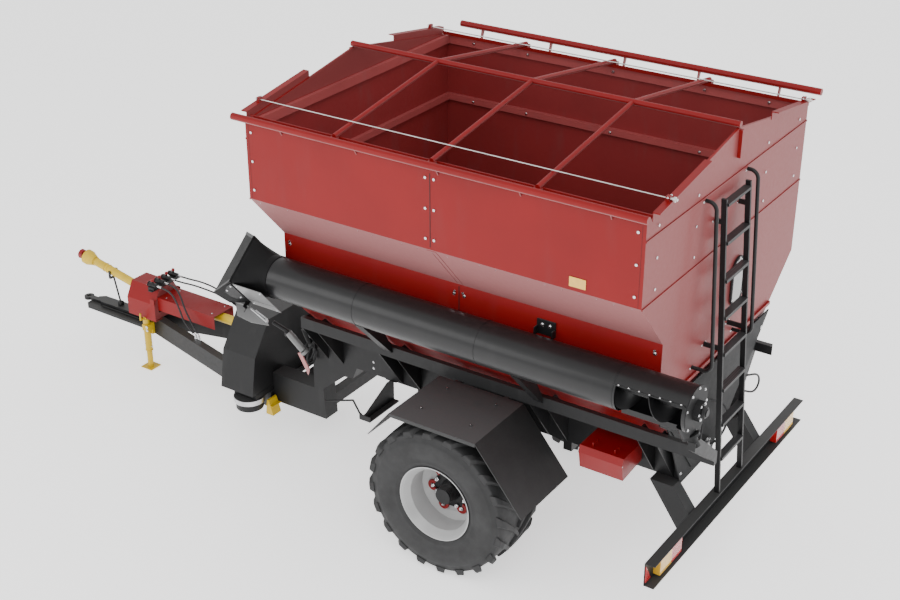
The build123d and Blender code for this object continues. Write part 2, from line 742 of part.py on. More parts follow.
def build_couplers():
    base = Vector(AXLE_X + 4452, 0, 975)
    with BuildPart() as couplers:
        block((base.X, base.X + 60), (-215, 215), (960, 968))
        for y in COUPLER_YS:
            block((base.X - 10, base.X + 70), (y - 34, y + 34), (968, 1000))
            rod((base.X - 30, y, 1022), (base.X + 90, y, 1022), 24)
            rod((base.X + 80, y, 1022), (base.X + 84, y, 1022), 30)
            rod((base.X + 30, y, 1040), (base.X + 30, y, 1066), 12)
    save(couplers.part, "couplers")


def hose_routes():
    """Route points of the four hydraulic hoses, from the couplers to their clips."""
    exit_z = 1022
    routes = []
    near = (
        [(0, 0, 0), (-130, 0, 0), (-270, 36, -26), (-390, 85, -130), (-470, 110, -270), (-600, 95, -372)],
        [(0, 0, 0), (-150, 0, 0), (-300, 75, -28), (-420, 145, -140), (-505, 150, -275), (-640, 196, -372)],
    )
    far = (
        [(0, 0, 0), (-140, 0, 0), (-280, -50, -16), (-410, -110, -60), (-545, -120, -75), (-680, -160, -110),
         (-810, -190, -190), (-930, -186, -290), (-1060, -210, -372)],
        [(0, 0, 0), (-150, 0, 0), (-290, -32, -6), (-420, -70, -40), (-540, -120, -110), (-660, -135, -200),
         (-780, -130, -290), (-910, -160, -372)],
    )
    for y, shape in zip(COUPLER_YS, (near[0], near[1], far[0], far[1])):
        routes.append([(AXLE_X + HOSE_START + dx, y + dy, exit_z + dz) for dx, dy, dz in shape])
    return routes


def hose_radii(points):
    """Arc radii that are as large as the runs beside each corner allow."""
    radii = []
    for before, corner, after in zip(points, points[1:], points[2:]):
        first = Vector(*corner) - Vector(*before)
        second = Vector(*after) - Vector(*corner)
        half_turn = radians(first.get_angle(second) / 2)
        radii.append(0.45 * min(first.length, second.length) / tan(half_turn))
    return radii


def build_hoses():
    for index, points in enumerate(hose_routes(), start=1):
        radii = hose_radii(points)
        with BuildPart() as hose:
            with BuildLine() as path:
                FilletPolyline(*points, radius=radii)
            with BuildSketch(Plane(origin=path.line @ 0, z_dir=path.line % 0)):
                Circle(HOSE_R)
            sweep(path=path.line)
        length = path.wires()[0].length
        section = pi * HOSE_R ** 2
        print(f"hose_{index}: length {length:.0f} volume ratio {hose.part.volume / section / length:.3f}")
        print("  radii", [round(r) for r in radii])
        save(hose.part, f"hose_{index}")


def build_jack():
    low, high = JACK_SLEEVE_Z
    x = AXLE_X + JACK_X
    with BuildPart() as sleeve:
        rod((x, JACK_Y, low), (x, JACK_Y, high), JACK_R)
        near, far = beam_y(JACK_X - 60) + DRAWBAR_W / 2, beam_y(JACK_X + 60) + DRAWBAR_W / 2
        bracket = [(x - 60, near), (x + 60, far), (x + 60, JACK_Y - 20), (x - 60, JACK_Y - 20)]
        slab_xy(bracket, (DRAWBAR_Z[0] + 5, DRAWBAR_Z[1] - 60))
        block((x - 60, x + 20), (JACK_Y - 50, JACK_Y + 50), (high - 130, high - 60))
        rod((x, JACK_Y, low - 1), (x, JACK_Y, high - 8), JACK_LEG_R + BEARING_GAP, mode=Mode.SUBTRACT)
    save(sleeve.part, "jack_sleeve")
    with BuildPart() as leg:
        rod((x, JACK_Y, FOOT_T), (x, JACK_Y, high - 200), JACK_LEG_R)
        block((x - FOOT_W / 2, x + FOOT_W / 2), (JACK_Y - FOOT_W / 2, JACK_Y + FOOT_W / 2), (0, FOOT_T))
    save(leg.part, "jack_leg")


def build_shafts():
    joint = Vector(AXLE_X + SHAFT_JOINT_X, 0, SHAFT_Z)
    yoke = Vector(AXLE_X + YOKE_X, 0, YOKE_Z)
    way = (yoke - joint).normalized()

    def at(distance):
        return tuple(joint + way * distance)

    length = (yoke - joint).length
    with BuildPart() as tube:
        rod(at(30), at(length - 160), SHAFT_R - 5)
        with BuildSketch(Plane(origin=at(length - 190), z_dir=way)) as small:
            Circle(52)
        with BuildSketch(Plane(origin=at(length - 110), z_dir=way)) as large:
            Circle(82)
        loft(Sketch() + [small.sketch, large.sketch])
        rod(at(length - 110), at(length - 60), 82)
        rod(at(length - 106), at(length - 59), 76, mode=Mode.SUBTRACT)
        rod(at(length - 180), at(length - 100), 20 + BEARING_GAP, mode=Mode.SUBTRACT)
    save(tube.part, "pto_guard")
    with BuildPart() as end:
        rod(at(length - 176), at(length - 90), 20)
        rod(at(length - 98), at(length - 20), 40)
        rod(at(length - 20), at(length + 25), 52)
        for turn in (1, -1):
            block_at = joint + way * (length - 10)
            with Locations((block_at.X, turn * 42, block_at.Z)):
                Box(50, 22, 50)
        rod(at(length - 12), at(length + 26), 20, mode=Mode.SUBTRACT)
    save(end.part, "pto_yoke")
    with BuildPart() as inner:
        rod((joint.X - 40, 0, SHAFT_Z), (AXLE_X + GUARD_X[1] + 12, 0, SHAFT_Z), SHAFT_R)
        rod((AXLE_X + GUARD_X[1] + 12, 0, SHAFT_Z), (AXLE_X + GUARD_X[0] + 330, 0, SHAFT_Z), 20)
    save(inner.part, "inner_shaft")
    foot = (AXLE_X + SUPPORT_X, 0, SUPPORT_Z)
    head = at(560)
    with BuildPart() as support:
        lift = SHAFT_R + 4
        rod(foot, (head[0], 0, head[2] - lift - 12), 10)
        rod((foot[0], -16, foot[2]), (foot[0], 16, foot[2]), 16)
        rod((foot[0], -17, foot[2]), (foot[0], 17, foot[2]), SUPPORT_PIN_R + BEARING_GAP, mode=Mode.SUBTRACT)
        block((head[0] - 15, head[0] + 15), (-58, 58), (head[2] - lift - 16, head[2] - lift - 4))
        for side in (1, -1):
            block((head[0] - 15, head[0] + 15), (side * 50, side * 58), (head[2] - lift - 4, head[2] + 20))
    save(support.part, "pto_support")


# ---------------------------------------------------------------- side equipment
def build_tool_box():
    x = (AXLE_X - 1500, AXLE_X - 1100)
    low, lid_z, top = 1215, 1370, 1430
    inner, middle, outer = RAIL_Y, 930, 960
    t = 4
    with BuildPart() as box:
        outline = [(inner, low + 30), (middle, low), (outer, lid_z), (inner, lid_z)]
        hollow = [
            (inner + t, low + 30 + t),
            (middle - t, low + t),
            (outer - t, lid_z + 1),
            (inner + t, lid_z + 1),
        ]
        slab_yz(outline, x)
        slab_yz(hollow, (x[0] + t, x[1] - t), mode=Mode.SUBTRACT)
    save(box.part, "tool_box")
    with BuildPart() as lid:
        edge = (inner + 6, outer + 4)
        cover = [(edge[0], lid_z + 1), (edge[1], lid_z + 1), (edge[1] - 24, top), (edge[0], top)]
        hollow = [
            (edge[0] + t, lid_z),
            (edge[1] - t, lid_z),
            (edge[1] - 24 - t, top - t),
            (edge[0] + t, top - t),
        ]
        slab_yz(cover, (x[0] - 3, x[1] + 3))
        slab_yz(hollow, (x[0] + 1, x[1] - 1), mode=Mode.SUBTRACT)
        for offset in (100, 300):
            at_x = (x[0] + offset - 5, x[0] + offset + 5)
            block(at_x, (820, 830), (top, top + 25))
            block(at_x, (895, 905), (top, top + 25))
            block(at_x, (820, 905), (top + 25, top + 33))
    save(lid.part, "tool_box_lid")


def build_step():
    with BuildPart() as step:
        x = AXLE_X + 1060
        gusset = [(560, RAIL_BOTTOM), (660, RAIL_BOTTOM), (1000, 1010), (1000, 955), (560, 955)]
        slab_yz(gusset, (x - 5, x + 5))
        block((x - 60, x + 60), (560, 1010), (948, 960))
        block((x - 60, x + 60), (1000, 1010), (960, 1000))
        block((x - 60, x + 60), (560, RAIL_Y), (RAIL_BOTTOM - 10, RAIL_BOTTOM))
        points = [
            (AXLE_X + 1842, 590, 690),
            (AXLE_X + 1506, 600, 813),
            (AXLE_X + 1200, 900, 930),
            (x + 50, 960, 950),
        ]
        for start, end in zip(points, points[1:]):
            rod(start, end, 9)
    save(step.part, "step_bracket")


# ---------------------------------------------------------------- unloading auger
def tube_point(angle, reach):
    """A point in the tube's section at an angle from the outward direction."""
    return (TUBE_Y + reach * cos(radians(angle)), TUBE_Z + reach * sin(radians(angle)))


def hood_plane(offset):
    """The hood's section plane, its first axis outward and down, its second outward and up."""
    roll = radians(HOOD_ROLL)
    return Plane(origin=(AXLE_X + offset, TUBE_Y, TUBE_Z), x_dir=(0, cos(roll), -sin(roll)), z_dir=(1, 0, 0))


def build_screw(name, y, z, radius, ends, flight, pitch):
    """A shaft along X with one spiral flight from flight[0], as many whole turns as fit."""
    start_x = AXLE_X + flight[0]
    turns = int((flight[1] - flight[0]) / pitch)
    middle = (radius + SCREW_SHAFT_R) / 2
    with BuildPart() as screw:
        rod((AXLE_X + ends[0], y, z), (AXLE_X + ends[1], y, z), SCREW_SHAFT_R)
        with BuildLine() as path:
            Helix(pitch=pitch, height=pitch * turns, radius=middle, center=(start_x, y, z), direction=(1, 0, 0))
        start = path.line @ 0
        outward = start - Vector(start_x, y, z)
        with BuildSketch(Plane(origin=start, x_dir=outward, z_dir=path.line % 0)) as blade:
            Rectangle(radius - SCREW_SHAFT_R + 4, FLIGHT_T)
        sweep(blade.sketch, path=path.line, is_frenet=True)
    save(screw.part, name)


def swing_point(distance):
    """A point on the auger's swing axis, this far below the tube's axis."""
    tilt = radians(SWING_TILT)
    return (AXLE_X + SWING_X - distance * sin(tilt), TUBE_Y, TUBE_Z - distance * cos(tilt))


def build_auger():
    rear, front = AXLE_X + TUBE_REAR, AXLE_X + TUBE_FRONT
    window = (AXLE_X + WINDOW[0], AXLE_X + WINDOW[1])
    bore_r = TUBE_R - TUBE_T
    with BuildPart() as tube:
        rod((rear, TUBE_Y, TUBE_Z), (front, TUBE_Y, TUBE_Z), TUBE_R)
        corners = [(TUBE_Y, TUBE_Z), tube_point(-90, 400), tube_point(-45, 600), tube_point(30, 400)]
        slab_yz(corners, window, mode=Mode.SUBTRACT)
        rod(swing_point(TURRET_DROP - 95), swing_point(TURRET_DROP - TURRET_GAP), TURRET_R)
        block((rear - 200, rear), (TUBE_Y - 200, TUBE_Y + 200), (TUBE_Z - 400, TUBE_Z), mode=Mode.SUBTRACT)
        rod((rear - 1, TUBE_Y, TUBE_Z), (front + 1, TUBE_Y, TUBE_Z), bore_r, mode=Mode.SUBTRACT)
        strips = ((30, 8, window[0] - 20), (-90, -8, AXLE_X + SWING_X - 30))
        for angle, thick, strip_rear in strips:
            start = tube_point(angle, bore_r)
            end = tube_point(angle, TUBE_R + 45)
            shift = tube_point(angle + 90, thick)
            step = (shift[0] - TUBE_Y, shift[1] - TUBE_Z)
            strip = [start, end, (end[0] + step[0], end[1] + step[1]), (start[0] + step[0], start[1] + step[1])]
            slab_yz(strip, (strip_rear, window[1] + 20))
    save(tube.part, "auger_tube")
    with BuildPart() as end_plate:
        with BuildSketch(Plane.YZ.offset(rear - 8)) as face:
            with Locations((TUBE_Y, TUBE_Z)):
                Circle(TUBE_R + 6)
            with BuildLine():
                Polyline(tube_point(0, TUBE_R), (TUBE_Y - 110, TUBE_Z - 235), tube_point(190, TUBE_R), close=True)
            make_face()
        extrude(face.sketch, amount=8)
        with BuildSketch(Plane.YZ.offset(rear - 58)) as flange:
            with Locations((TUBE_Y, TUBE_Z)):
                RegularPolygon(80, 6)
        extrude(flange.sketch, amount=50)
        rod((rear - 70, TUBE_Y, TUBE_Z), (rear + 1, TUBE_Y, TUBE_Z), SHAFT_HOLE_R, mode=Mode.SUBTRACT)
    save(end_plate.part, "auger_end_plate")
    reach = bore_r - SCREW_GAP
    low_reach = TROUGH_R - SHEET - SCREW_GAP
    screw_front = HOOD_MOUTH + 90
    build_screw("auger_screw", TUBE_Y, TUBE_Z, reach, (-REAR_REACH, screw_front), (-2190, 1900), SCREW_PITCH)
    build_screw("bottom_screw", TROUGH_Y, TROUGH_Z, low_reach, (-1935, 1845), (-1790, 1700), SCREW_PITCH)


def hood_transition(inset):
    """The round to square length of the hood, drawn in from its outer faces by the inset."""
    with BuildSketch(hood_plane(TUBE_FRONT)) as small:
        Circle(TUBE_R + HOOD_SHEET - inset)
    with BuildSketch(hood_plane(HOOD_MOUTH)) as large:
        RectangleRounded(2 * (HOOD_HALF - inset), 2 * (HOOD_RISE - inset), 30 - inset)
    return loft(Sketch() + [small.sketch, large.sketch], mode=Mode.PRIVATE)


def build_hood():
    t = HOOD_SHEET
    section = hood_plane(HOOD_MOUTH)
    outward, upward = section.x_dir, section.y_dir
    span = HOOD_FRONT - HOOD_MOUTH
    lap = 2
    band = 4
    with BuildPart() as hood:
        add(hood_transition(0))
        add(hood_transition(t), mode=Mode.SUBTRACT)
        with BuildSketch(hood_plane(TUBE_FRONT - 70)) as sleeve:
            Circle(TUBE_R + t)
            Circle(TUBE_R, mode=Mode.SUBTRACT)
        extrude(sleeve.sketch, amount=70)
        with BuildSketch(hood_plane(HOOD_MOUTH - band)) as collar:
            Rectangle(2 * (HOOD_HALF + band), 2 * (HOOD_RISE + band))
            RectangleRounded(2 * (HOOD_HALF - 2 * band), 2 * (HOOD_RISE - 2 * band), 22, mode=Mode.SUBTRACT)
        extrude(collar.sketch, amount=3 * band)
        slope = Vector(span, 0, 0) - upward * HOOD_RISE
        top = Plane(origin=section.origin + upward * HOOD_RISE, x_dir=outward, z_dir=outward.cross(slope))
        edge = slope.length
        slab(top, [(-HOOD_HALF, lap), (HOOD_HALF, lap), (HOOD_FLARE, edge), (-HOOD_FLARE, edge)], t)
        for side in (1, -1):
            way = Vector(span, 0, 0) + outward * side * (HOOD_FLARE - HOOD_HALF)
            corner = section.origin + outward * side * HOOD_HALF
            cheek = Plane(origin=corner, x_dir=way, z_dir=way.cross(upward))
            far = way.length
            outline = [(lap, -HOOD_RISE), (far * 0.8, -HOOD_RISE), (far, 0), (lap, HOOD_RISE - lap)]
            slab(cheek, outline, side * t)
        strap = [(-260, -30), (260, -30), (260, 30), (-260, 30)]
        slab(hood_plane(HOOD_MOUTH + 78), strap, 8)
        rod(
            (section.origin.X + 70, TUBE_Y, TUBE_Z),
            (section.origin.X + 95, TUBE_Y, TUBE_Z),
            SHAFT_HOLE_R,
            mode=Mode.SUBTRACT,
        )
        for offset in FLAP_LUGS:
            lug = [
                (HOOD_HALF - 6, -HOOD_RISE + 20),
                (FLAP_PIN[0] + 30, -HOOD_RISE + 20),
                (FLAP_PIN[0] + 30, FLAP_PIN[1] - 12),
                (HOOD_HALF - 6, FLAP_PIN[1] - 12),
            ]
            slab(hood_plane(offset), lug, 6)
            centre = hood_plane(offset).from_local_coords((*FLAP_PIN, -1))
            end = hood_plane(offset).from_local_coords((*FLAP_PIN, 7))
            rod(tuple(centre), tuple(end), FLAP_PIN_R + BEARING_GAP, mode=Mode.SUBTRACT)
    save(hood.part, "auger_hood")
    with BuildPart() as plate:
        outline = [(HOOD_HALF, -225), (HOOD_HALF + 6, -225), (HOOD_HALF + 6, 165), (HOOD_HALF, 165)]
        slab(hood_plane(HOOD_MOUTH - 330), outline, 320)
    save(plate.part, "hood_side_plate")
    with BuildPart() as flap:
        away = -HOOD_RISE - 38
        sheet = Plane(origin=section.origin + upward * away, x_dir=(1, 0, 0), z_dir=upward)
        outline = [
            (10, -HOOD_HALF - 10),
            (185, -HOOD_HALF - 10),
            (185, 262),
            (95, 382),
            (-79, 401),
            (-268, 375),
            (-174, 312),
            (10, FLAP_PIN[0]),
        ]
        slab(sheet, outline, 6)
        pin = [hood_plane(HOOD_MOUTH + along).from_local_coords((*FLAP_PIN, 0)) for along in (12, 228)]
        rod(tuple(pin[0]), tuple(pin[1]), FLAP_PIN_R)
        for offset in FLAP_LUGS:
            notch = [
                (FLAP_PIN[0] - 50, away - 1),
                (FLAP_PIN[0] + 62, away - 1),
                (FLAP_PIN[0] + 62, away + 7),
                (FLAP_PIN[0] - 50, away + 7),
            ]
            slab(hood_plane(offset - 3), notch, 12, mode=Mode.SUBTRACT)
    save(flap.part, "hood_flap")


def build_auger_hinge():
    """Turret post and arm that carry the auger, from the rear end of the left side beam."""
    post = swing_point(TURRET_DROP + 100)
    with BuildPart() as hinge:
        rod(swing_point(TURRET_DROP), swing_point(TURRET_DROP + 20), TURRET_R)
        rod(swing_point(TURRET_DROP + 20), post, 42)
        inner = SIDE_BEAM_Y - SIDE_BEAM_T
        low = SIDE_BEAM_Z - SIDE_BEAM_H
        arm = [
            (inner, low),
            (inner, SIDE_BEAM_Z),
            (TUBE_Y - 45, post[2] + 52),
            (TUBE_Y + 45, post[2] + 52),
            (TUBE_Y + 45, post[2] - 18),
        ]
        slab_yz(arm, (post[0] - 17, post[0] + 43))
        block((post[0] - 17, AXLE_X - 1950), (inner, SIDE_BEAM_Y), (low, SIDE_BEAM_Z))
    save(hinge.part, "auger_hinge")


# ---------------------------------------------------------------- wheels
def build_wheels():
    centre = (AXLE_X, WHEEL_Y, TYRE_R)
    section_plane = Plane(origin=centre, x_dir=(1, 0, 0), z_dir=(0, 0, 1))
    spin = Axis(centre, (0, 1, 0))
    half = TYRE_W / 2
    rim_half = RIM_W / 2
    bead = RIM_R - 12
    with BuildPart() as tyre:
        with BuildSketch(section_plane) as section:
            with BuildLine():
                Polyline(
                    (bead, -rim_half + 10),
                    (RIM_R + 60, -half + 6),
                    (RIM_R + 180, -half),
                    (TYRE_R - 90, -half + 12),
                    (TYRE_R - 28, -half + 60),
                    (TYRE_R, -half + 110),
                    (TYRE_R, half - 110),
                    (TYRE_R - 28, half - 60),
                    (TYRE_R - 90, half - 12),
                    (RIM_R + 180, half),
                    (RIM_R + 60, half - 6),
                    (bead, rim_half - 10),
                    (bead + 30, rim_half - 40),
                    (RIM_R + 180, half - 40),
                    (TYRE_R - 60, half - 90),
                    (TYRE_R - 60, -half + 90),
                    (RIM_R + 180, -half + 40),
                    (bead + 30, -rim_half + 40),
                    close=True,
                )
            make_face()
        revolve(section.sketch, axis=spin)
    with BuildPart() as rim:
        with BuildSketch(section_plane) as section:
            with BuildLine():
                Polyline(
                    (bead, rim_half - 10),
                    (RIM_R, rim_half + 5),
                    (RIM_R - 10, rim_half + 5),
                    (bead - 14, rim_half - 14),
                    (bead - 50, rim_half - 70),
                    (bead - 50, 25),
                    (HUB_R + 75, -5),
                    (HUB_R - 60, -5),
                    (HUB_R - 60, -15),
                    (HUB_R + 75, -15),
                    (bead - 50, 10),
                    (bead - 50, -rim_half + 70),
                    (bead - 14, -rim_half + 14),
                    (RIM_R - 10, -rim_half - 5),
                    (RIM_R, -rim_half - 5),
                    (bead, -rim_half + 10),
                    (bead - 38, -rim_half + 66),
                    (bead - 38, rim_half - 66),
                    close=True,
                )
            make_face()
        revolve(section.sketch, axis=spin)
    with BuildPart() as hub:
        with BuildSketch(section_plane) as section:
            with BuildLine():
                Polyline(
                    (STUB_R + BEARING_GAP, -100),
                    (100, -100),
                    (100, -27),
                    (HUB_R + 30, -27),
                    (HUB_R + 30, -15),
                    (HUB_R - 62, -15),
                    (HUB_R - 62, 60),
                    (80, 80),
                    (80, 130),
                    (0, 135),
                    (0, 122),
                    (STUB_R + BEARING_GAP, 122),
                    close=True,
                )
            make_face()
        revolve(section.sketch, axis=spin)
        for index in range(8):
            angle = radians(45 * index + 22.5)
            x = AXLE_X + (HUB_R + 5) * cos(angle)
            z = TYRE_R + (HUB_R + 5) * sin(angle)
            rod((x, WHEEL_Y - 5, z), (x, WHEEL_Y + 24, z), 16)
    for name, piece in (("tyre", tyre), ("rim", rim), ("hub", hub)):
        save(piece.part, f"{name}_left")
        save(mirror(piece.part, about=Plane.XZ), f"{name}_right")


build_hopper()
build_inner_rails()
build_panel_bolts()
roof_slope = build_roof()
build_rim(roof_slope)
build_sight_glass()
build_chassis()
build_axle()
build_fenders()
build_bumper()
build_ladder()
build_neck()
build_drawbar()
build_drive()
build_shaft_cover()
build_couplers()
build_hoses()
build_jack()
build_shafts()
build_tool_box()
build_step()
build_auger()
build_hood()
build_auger_hinge()
build_wheels()
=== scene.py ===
import math

import bmesh
import bpy
from mathutils import Matrix, Vector


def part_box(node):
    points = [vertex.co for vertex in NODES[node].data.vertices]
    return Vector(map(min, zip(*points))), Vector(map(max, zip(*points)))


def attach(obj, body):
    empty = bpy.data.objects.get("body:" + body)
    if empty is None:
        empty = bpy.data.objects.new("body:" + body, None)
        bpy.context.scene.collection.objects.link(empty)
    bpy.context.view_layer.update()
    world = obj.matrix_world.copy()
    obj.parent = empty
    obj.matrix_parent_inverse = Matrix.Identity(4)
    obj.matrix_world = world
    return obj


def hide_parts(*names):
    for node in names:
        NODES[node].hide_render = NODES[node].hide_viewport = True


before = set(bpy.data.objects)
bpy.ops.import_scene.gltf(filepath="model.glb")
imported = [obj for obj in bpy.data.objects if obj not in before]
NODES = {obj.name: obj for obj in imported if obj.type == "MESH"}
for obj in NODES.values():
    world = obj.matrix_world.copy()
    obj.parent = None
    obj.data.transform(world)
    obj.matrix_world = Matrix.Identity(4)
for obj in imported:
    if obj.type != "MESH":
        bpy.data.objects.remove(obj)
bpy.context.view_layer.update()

SCENE = bpy.context.scene

AXLE_X = -1.7025
LEFT = 1.485
RIM_Z = 3.800
KNEE_Z = 3.113
TUBE_Y, TUBE_Z, TUBE_R = 1.300, 2.327, 0.184
FRONT_WALL = AXLE_X + 1.830
REAR_WALL = AXLE_X - 1.830
WHEEL_Y, TYRE_R, TYRE_HALF = 1.180, 0.710, 0.300
HOOD_ROLL = math.radians(40)
HOOD_HALF = 0.230
HOOD_FLARE_SLOPE = 0.338
LOWER_WALL_Y, LOWER_WALL_Z = 1.077, 2.646
RAIL_Y = 0.600
CABLE_Y = 1.250
COUPLER_YS = (0.165, 0.060, -0.045, -0.150)
COUPLER_X, COUPLER_Z = AXLE_X + 4.422, 1.022
JACK_X, JACK_Y = AXLE_X + 4.620, 0.178
SHAFT_JOINT = (AXLE_X + 4.7, 0, 0.8)
SHAFT_WAY = (1.0, 0, 0.2)


# ---------------------------------------------------------------- camera, floor and light
def look(name, place, toward, roll=0.0):
    data = bpy.data.cameras.new(name)
    eye = bpy.data.objects.new(name, data)
    SCENE.collection.objects.link(eye)
    turn = Vector(toward).to_track_quat("-Z", "Y").to_matrix().to_4x4()
    eye.matrix_world = Matrix.Translation(place) @ turn @ Matrix.Rotation(math.radians(roll), 4, "Z")
    return eye


camera = look("camera", (-7.5945, 10.009, 7.963), (0.4955, -0.740, -0.4545))
camera.data.sensor_width = 36
camera.data.lens = 58.954
camera.data.clip_end = 200
SCENE.camera = camera


def area_light(name, place, size, power, target=(0, 0, 1.5)):
    data = bpy.data.lights.new(name, "AREA")
    data.shape = "RECTANGLE"
    data.size, data.size_y = size
    data.energy = power
    lamp = bpy.data.objects.new(name, data)
    SCENE.collection.objects.link(lamp)
    way = Vector(target) - Vector(place)
    lamp.matrix_world = Matrix.Translation(place) @ way.to_track_quat("-Z", "Y").to_matrix().to_4x4()


LIGHTS = (
    ("key", (-7, 10, 12), (9, 9), 900),
    ("side", (6, 11, 7), (8, 6), 420),
    ("rear", (-13, -2, 6), (8, 6), 420),
)


def studio():
    """A bright even room, three soft lights and a pale floor."""
    world = bpy.data.worlds.new("studio")
    SCENE.world = world
    world.use_nodes = True
    world.node_tree.nodes["Background"].inputs["Color"].default_value = (1, 1, 1, 1)
    world.node_tree.nodes["Background"].inputs["Strength"].default_value = 1.15
    for name, place, size, power in LIGHTS:
        area_light(name, place, size, power)
    mesh = bpy.data.meshes.new("floor")
    reach, drop = 60, -0.001
    mesh.from_pydata(
        [(-reach, -reach, drop), (reach, -reach, drop), (reach, reach, drop), (-reach, reach, drop)],
        [],
        [(0, 1, 2, 3)],
    )
    floor = bpy.data.objects.new("floor", mesh)
    SCENE.collection.objects.link(floor)
    pale = bpy.data.materials.new("pale_floor")
    pale.use_nodes = True
    pale.node_tree.nodes["Principled BSDF"].inputs["Base Color"].default_value = (0.92, 0.92, 0.92, 1)
    pale.node_tree.nodes["Principled BSDF"].inputs["Roughness"].default_value = 0.9
    pale.node_tree.nodes["Principled BSDF"].inputs["Emission Color"].default_value = (1, 1, 1, 1)
    pale.node_tree.nodes["Principled BSDF"].inputs["Emission Strength"].default_value = 0.9
    mesh.materials.append(pale)


studio()


# ---------------------------------------------------------------- materials
class Paint:
    """A procedural surface: two tones, grime, roughness and bump from noise in object space."""

    def __init__(self, name, metallic=0.0, coat=0.0, coat_rough=0.1, spec=0.5):
        self.material = bpy.data.materials.new(name)
        self.material.use_nodes = True
        self.tree = self.material.node_tree
        self.shader = self.tree.nodes["Principled BSDF"]
        self.shader.inputs["Metallic"].default_value = metallic
        self.shader.inputs["Coat Weight"].default_value = coat
        self.shader.inputs["Coat Roughness"].default_value = coat_rough
        self.shader.inputs["Specular IOR Level"].default_value = spec
        self.coords = self.add("ShaderNodeTexCoord").outputs["Object"]

    def add(self, kind):
        return self.tree.nodes.new(kind)

    def link(self, a, b):
        self.tree.links.new(a, b)

    def noise(self, scale, detail=4.0, stretch=(1, 1, 1)):
        place = self.add("ShaderNodeMapping")
        place.inputs["Scale"].default_value = stretch
        self.link(self.coords, place.inputs["Vector"])
        texture = self.add("ShaderNodeTexNoise")
        texture.inputs["Scale"].default_value = scale
        texture.inputs["Detail"].default_value = detail
        self.link(place.outputs["Vector"], texture.inputs["Vector"])
        return texture.outputs["Fac"]

    def ramp(self, source, low, high):
        span = self.add("ShaderNodeMapRange")
        span.inputs["From Min"].default_value = low
        span.inputs["From Max"].default_value = high
        self.link(source, span.inputs["Value"])
        return span.outputs["Result"]

    def mix(self, factor, a, b):
        node = self.add("ShaderNodeMix")
        node.data_type = "RGBA"
        self.link(factor, node.inputs["Factor"])
        for value, key in ((a, "A"), (b, "B")):
            plug = [s for s in node.inputs if s.name == key and s.type == "RGBA"][0]
            if hasattr(value, "is_linked"):
                self.link(value, plug)
            else:
                plug.default_value = (*value, 1)
        return [s for s in node.outputs if s.type == "RGBA"][0]

    def facing(self, way, low, high):
        """How far a surface faces a way, from none at the low cosine to all at the high one."""
        normal = self.add("ShaderNodeNewGeometry").outputs["Normal"]
        dot = self.add("ShaderNodeVectorMath")
        dot.operation = "DOT_PRODUCT"
        dot.inputs[1].default_value = way
        self.link(normal, dot.inputs[0])
        return self.ramp(dot.outputs["Value"], low, high)

    def height(self):
        apart = self.add("ShaderNodeSeparateXYZ")
        self.link(self.coords, apart.inputs["Vector"])
        return apart.outputs["Z"]

    def colour(self, source):
        self.link(source, self.shader.inputs["Base Color"])

    def rough(self, source, low, high):
        span = self.add("ShaderNodeMapRange")
        span.inputs["To Min"].default_value = low
        span.inputs["To Max"].default_value = high
        self.link(source, span.inputs["Value"])
        self.link(span.outputs["Result"], self.shader.inputs["Roughness"])

    def bump(self, source, distance, strength=1.0, under=None):
        node = self.add("ShaderNodeBump")
        node.inputs["Distance"].default_value = distance
        node.inputs["Strength"].default_value = strength
        self.link(source, node.inputs["Height"])
        if under is not None:
            self.link(under, node.inputs["Normal"])
        self.link(node.outputs["Normal"], self.shader.inputs["Normal"])
        return node.outputs["Normal"]


def scaled(colour, factor):
    return tuple(min(1.0, c * factor) for c in colour)


def enamel(name, colour, coat=0.6, rough=(0.28, 0.42), grime=0.35, spec=0.5, painted_reflection=None, rear=None, painted_top_highlight=None):
    """Sprayed paint on sheet steel: tone changes, dusty grime in patches, orange peel and long shallow dents;
    optionally a painted reflection on high downward faces and on faces turned to -X, and a painted highlight
    on upward faces.
    """
    p = Paint(name, coat=coat, coat_rough=0.12, spec=spec)
    tone = p.mix(p.ramp(p.noise(1.3, 5), 0.3, 0.7), scaled(colour, 0.90), scaled(colour, 1.08))
    streaks = p.ramp(p.noise(7.0, 8, (1, 1, 0.22)), 0.56, 0.82)
    weak = p.add("ShaderNodeMath")
    weak.operation = "MULTIPLY"
    weak.inputs[1].default_value = grime
    p.link(streaks, weak.inputs[0])
    grey = sum(colour) / 3
    dusty = tuple(0.55 * c + 0.45 * (grey * 0.5 + 0.045) for c in colour)
    grime_and_painted_light = p.mix(weak.outputs[0], tone, dusty)
    # Painted reflection: high downward-facing faces are mixed towards a paler red that stands in for the
    # bright floor reflected in the paint.
    if painted_reflection is not None:
        both = p.add("ShaderNodeMath")
        both.operation = "MULTIPLY"
        p.link(p.facing((0.0, 0.0, -1.0), 0.35, 0.60), both.inputs[0])
        p.link(p.ramp(p.height(), 2.2, 2.5), both.inputs[1])
        grime_and_painted_light = p.mix(both.outputs[0], grime_and_painted_light, painted_reflection)
    # Painted reflection: faces turned to -X are mixed towards a paler colour that stands in for the milky
    # reflection seen at a grazing angle.
    if rear is not None:
        grime_and_painted_light = p.mix(p.facing((-1.0, 0.0, 0.0), 0.90, 0.98), grime_and_painted_light, rear)
    # Painted highlight: upward faces are mixed towards a lighter colour that stands in for light falling on
    # tops.
    if painted_top_highlight is not None:
        grime_and_painted_light = p.mix(p.facing((0.0, 0.0, 1.0), 0.75, 0.98), grime_and_painted_light, painted_top_highlight)
    p.colour(grime_and_painted_light)
    p.rough(p.noise(26, 6), *rough)
    waves = p.bump(p.noise(2.2, 2), 0.004, 0.25)
    p.bump(p.noise(420, 2), 0.00025, 0.6, waves)
    return p.material


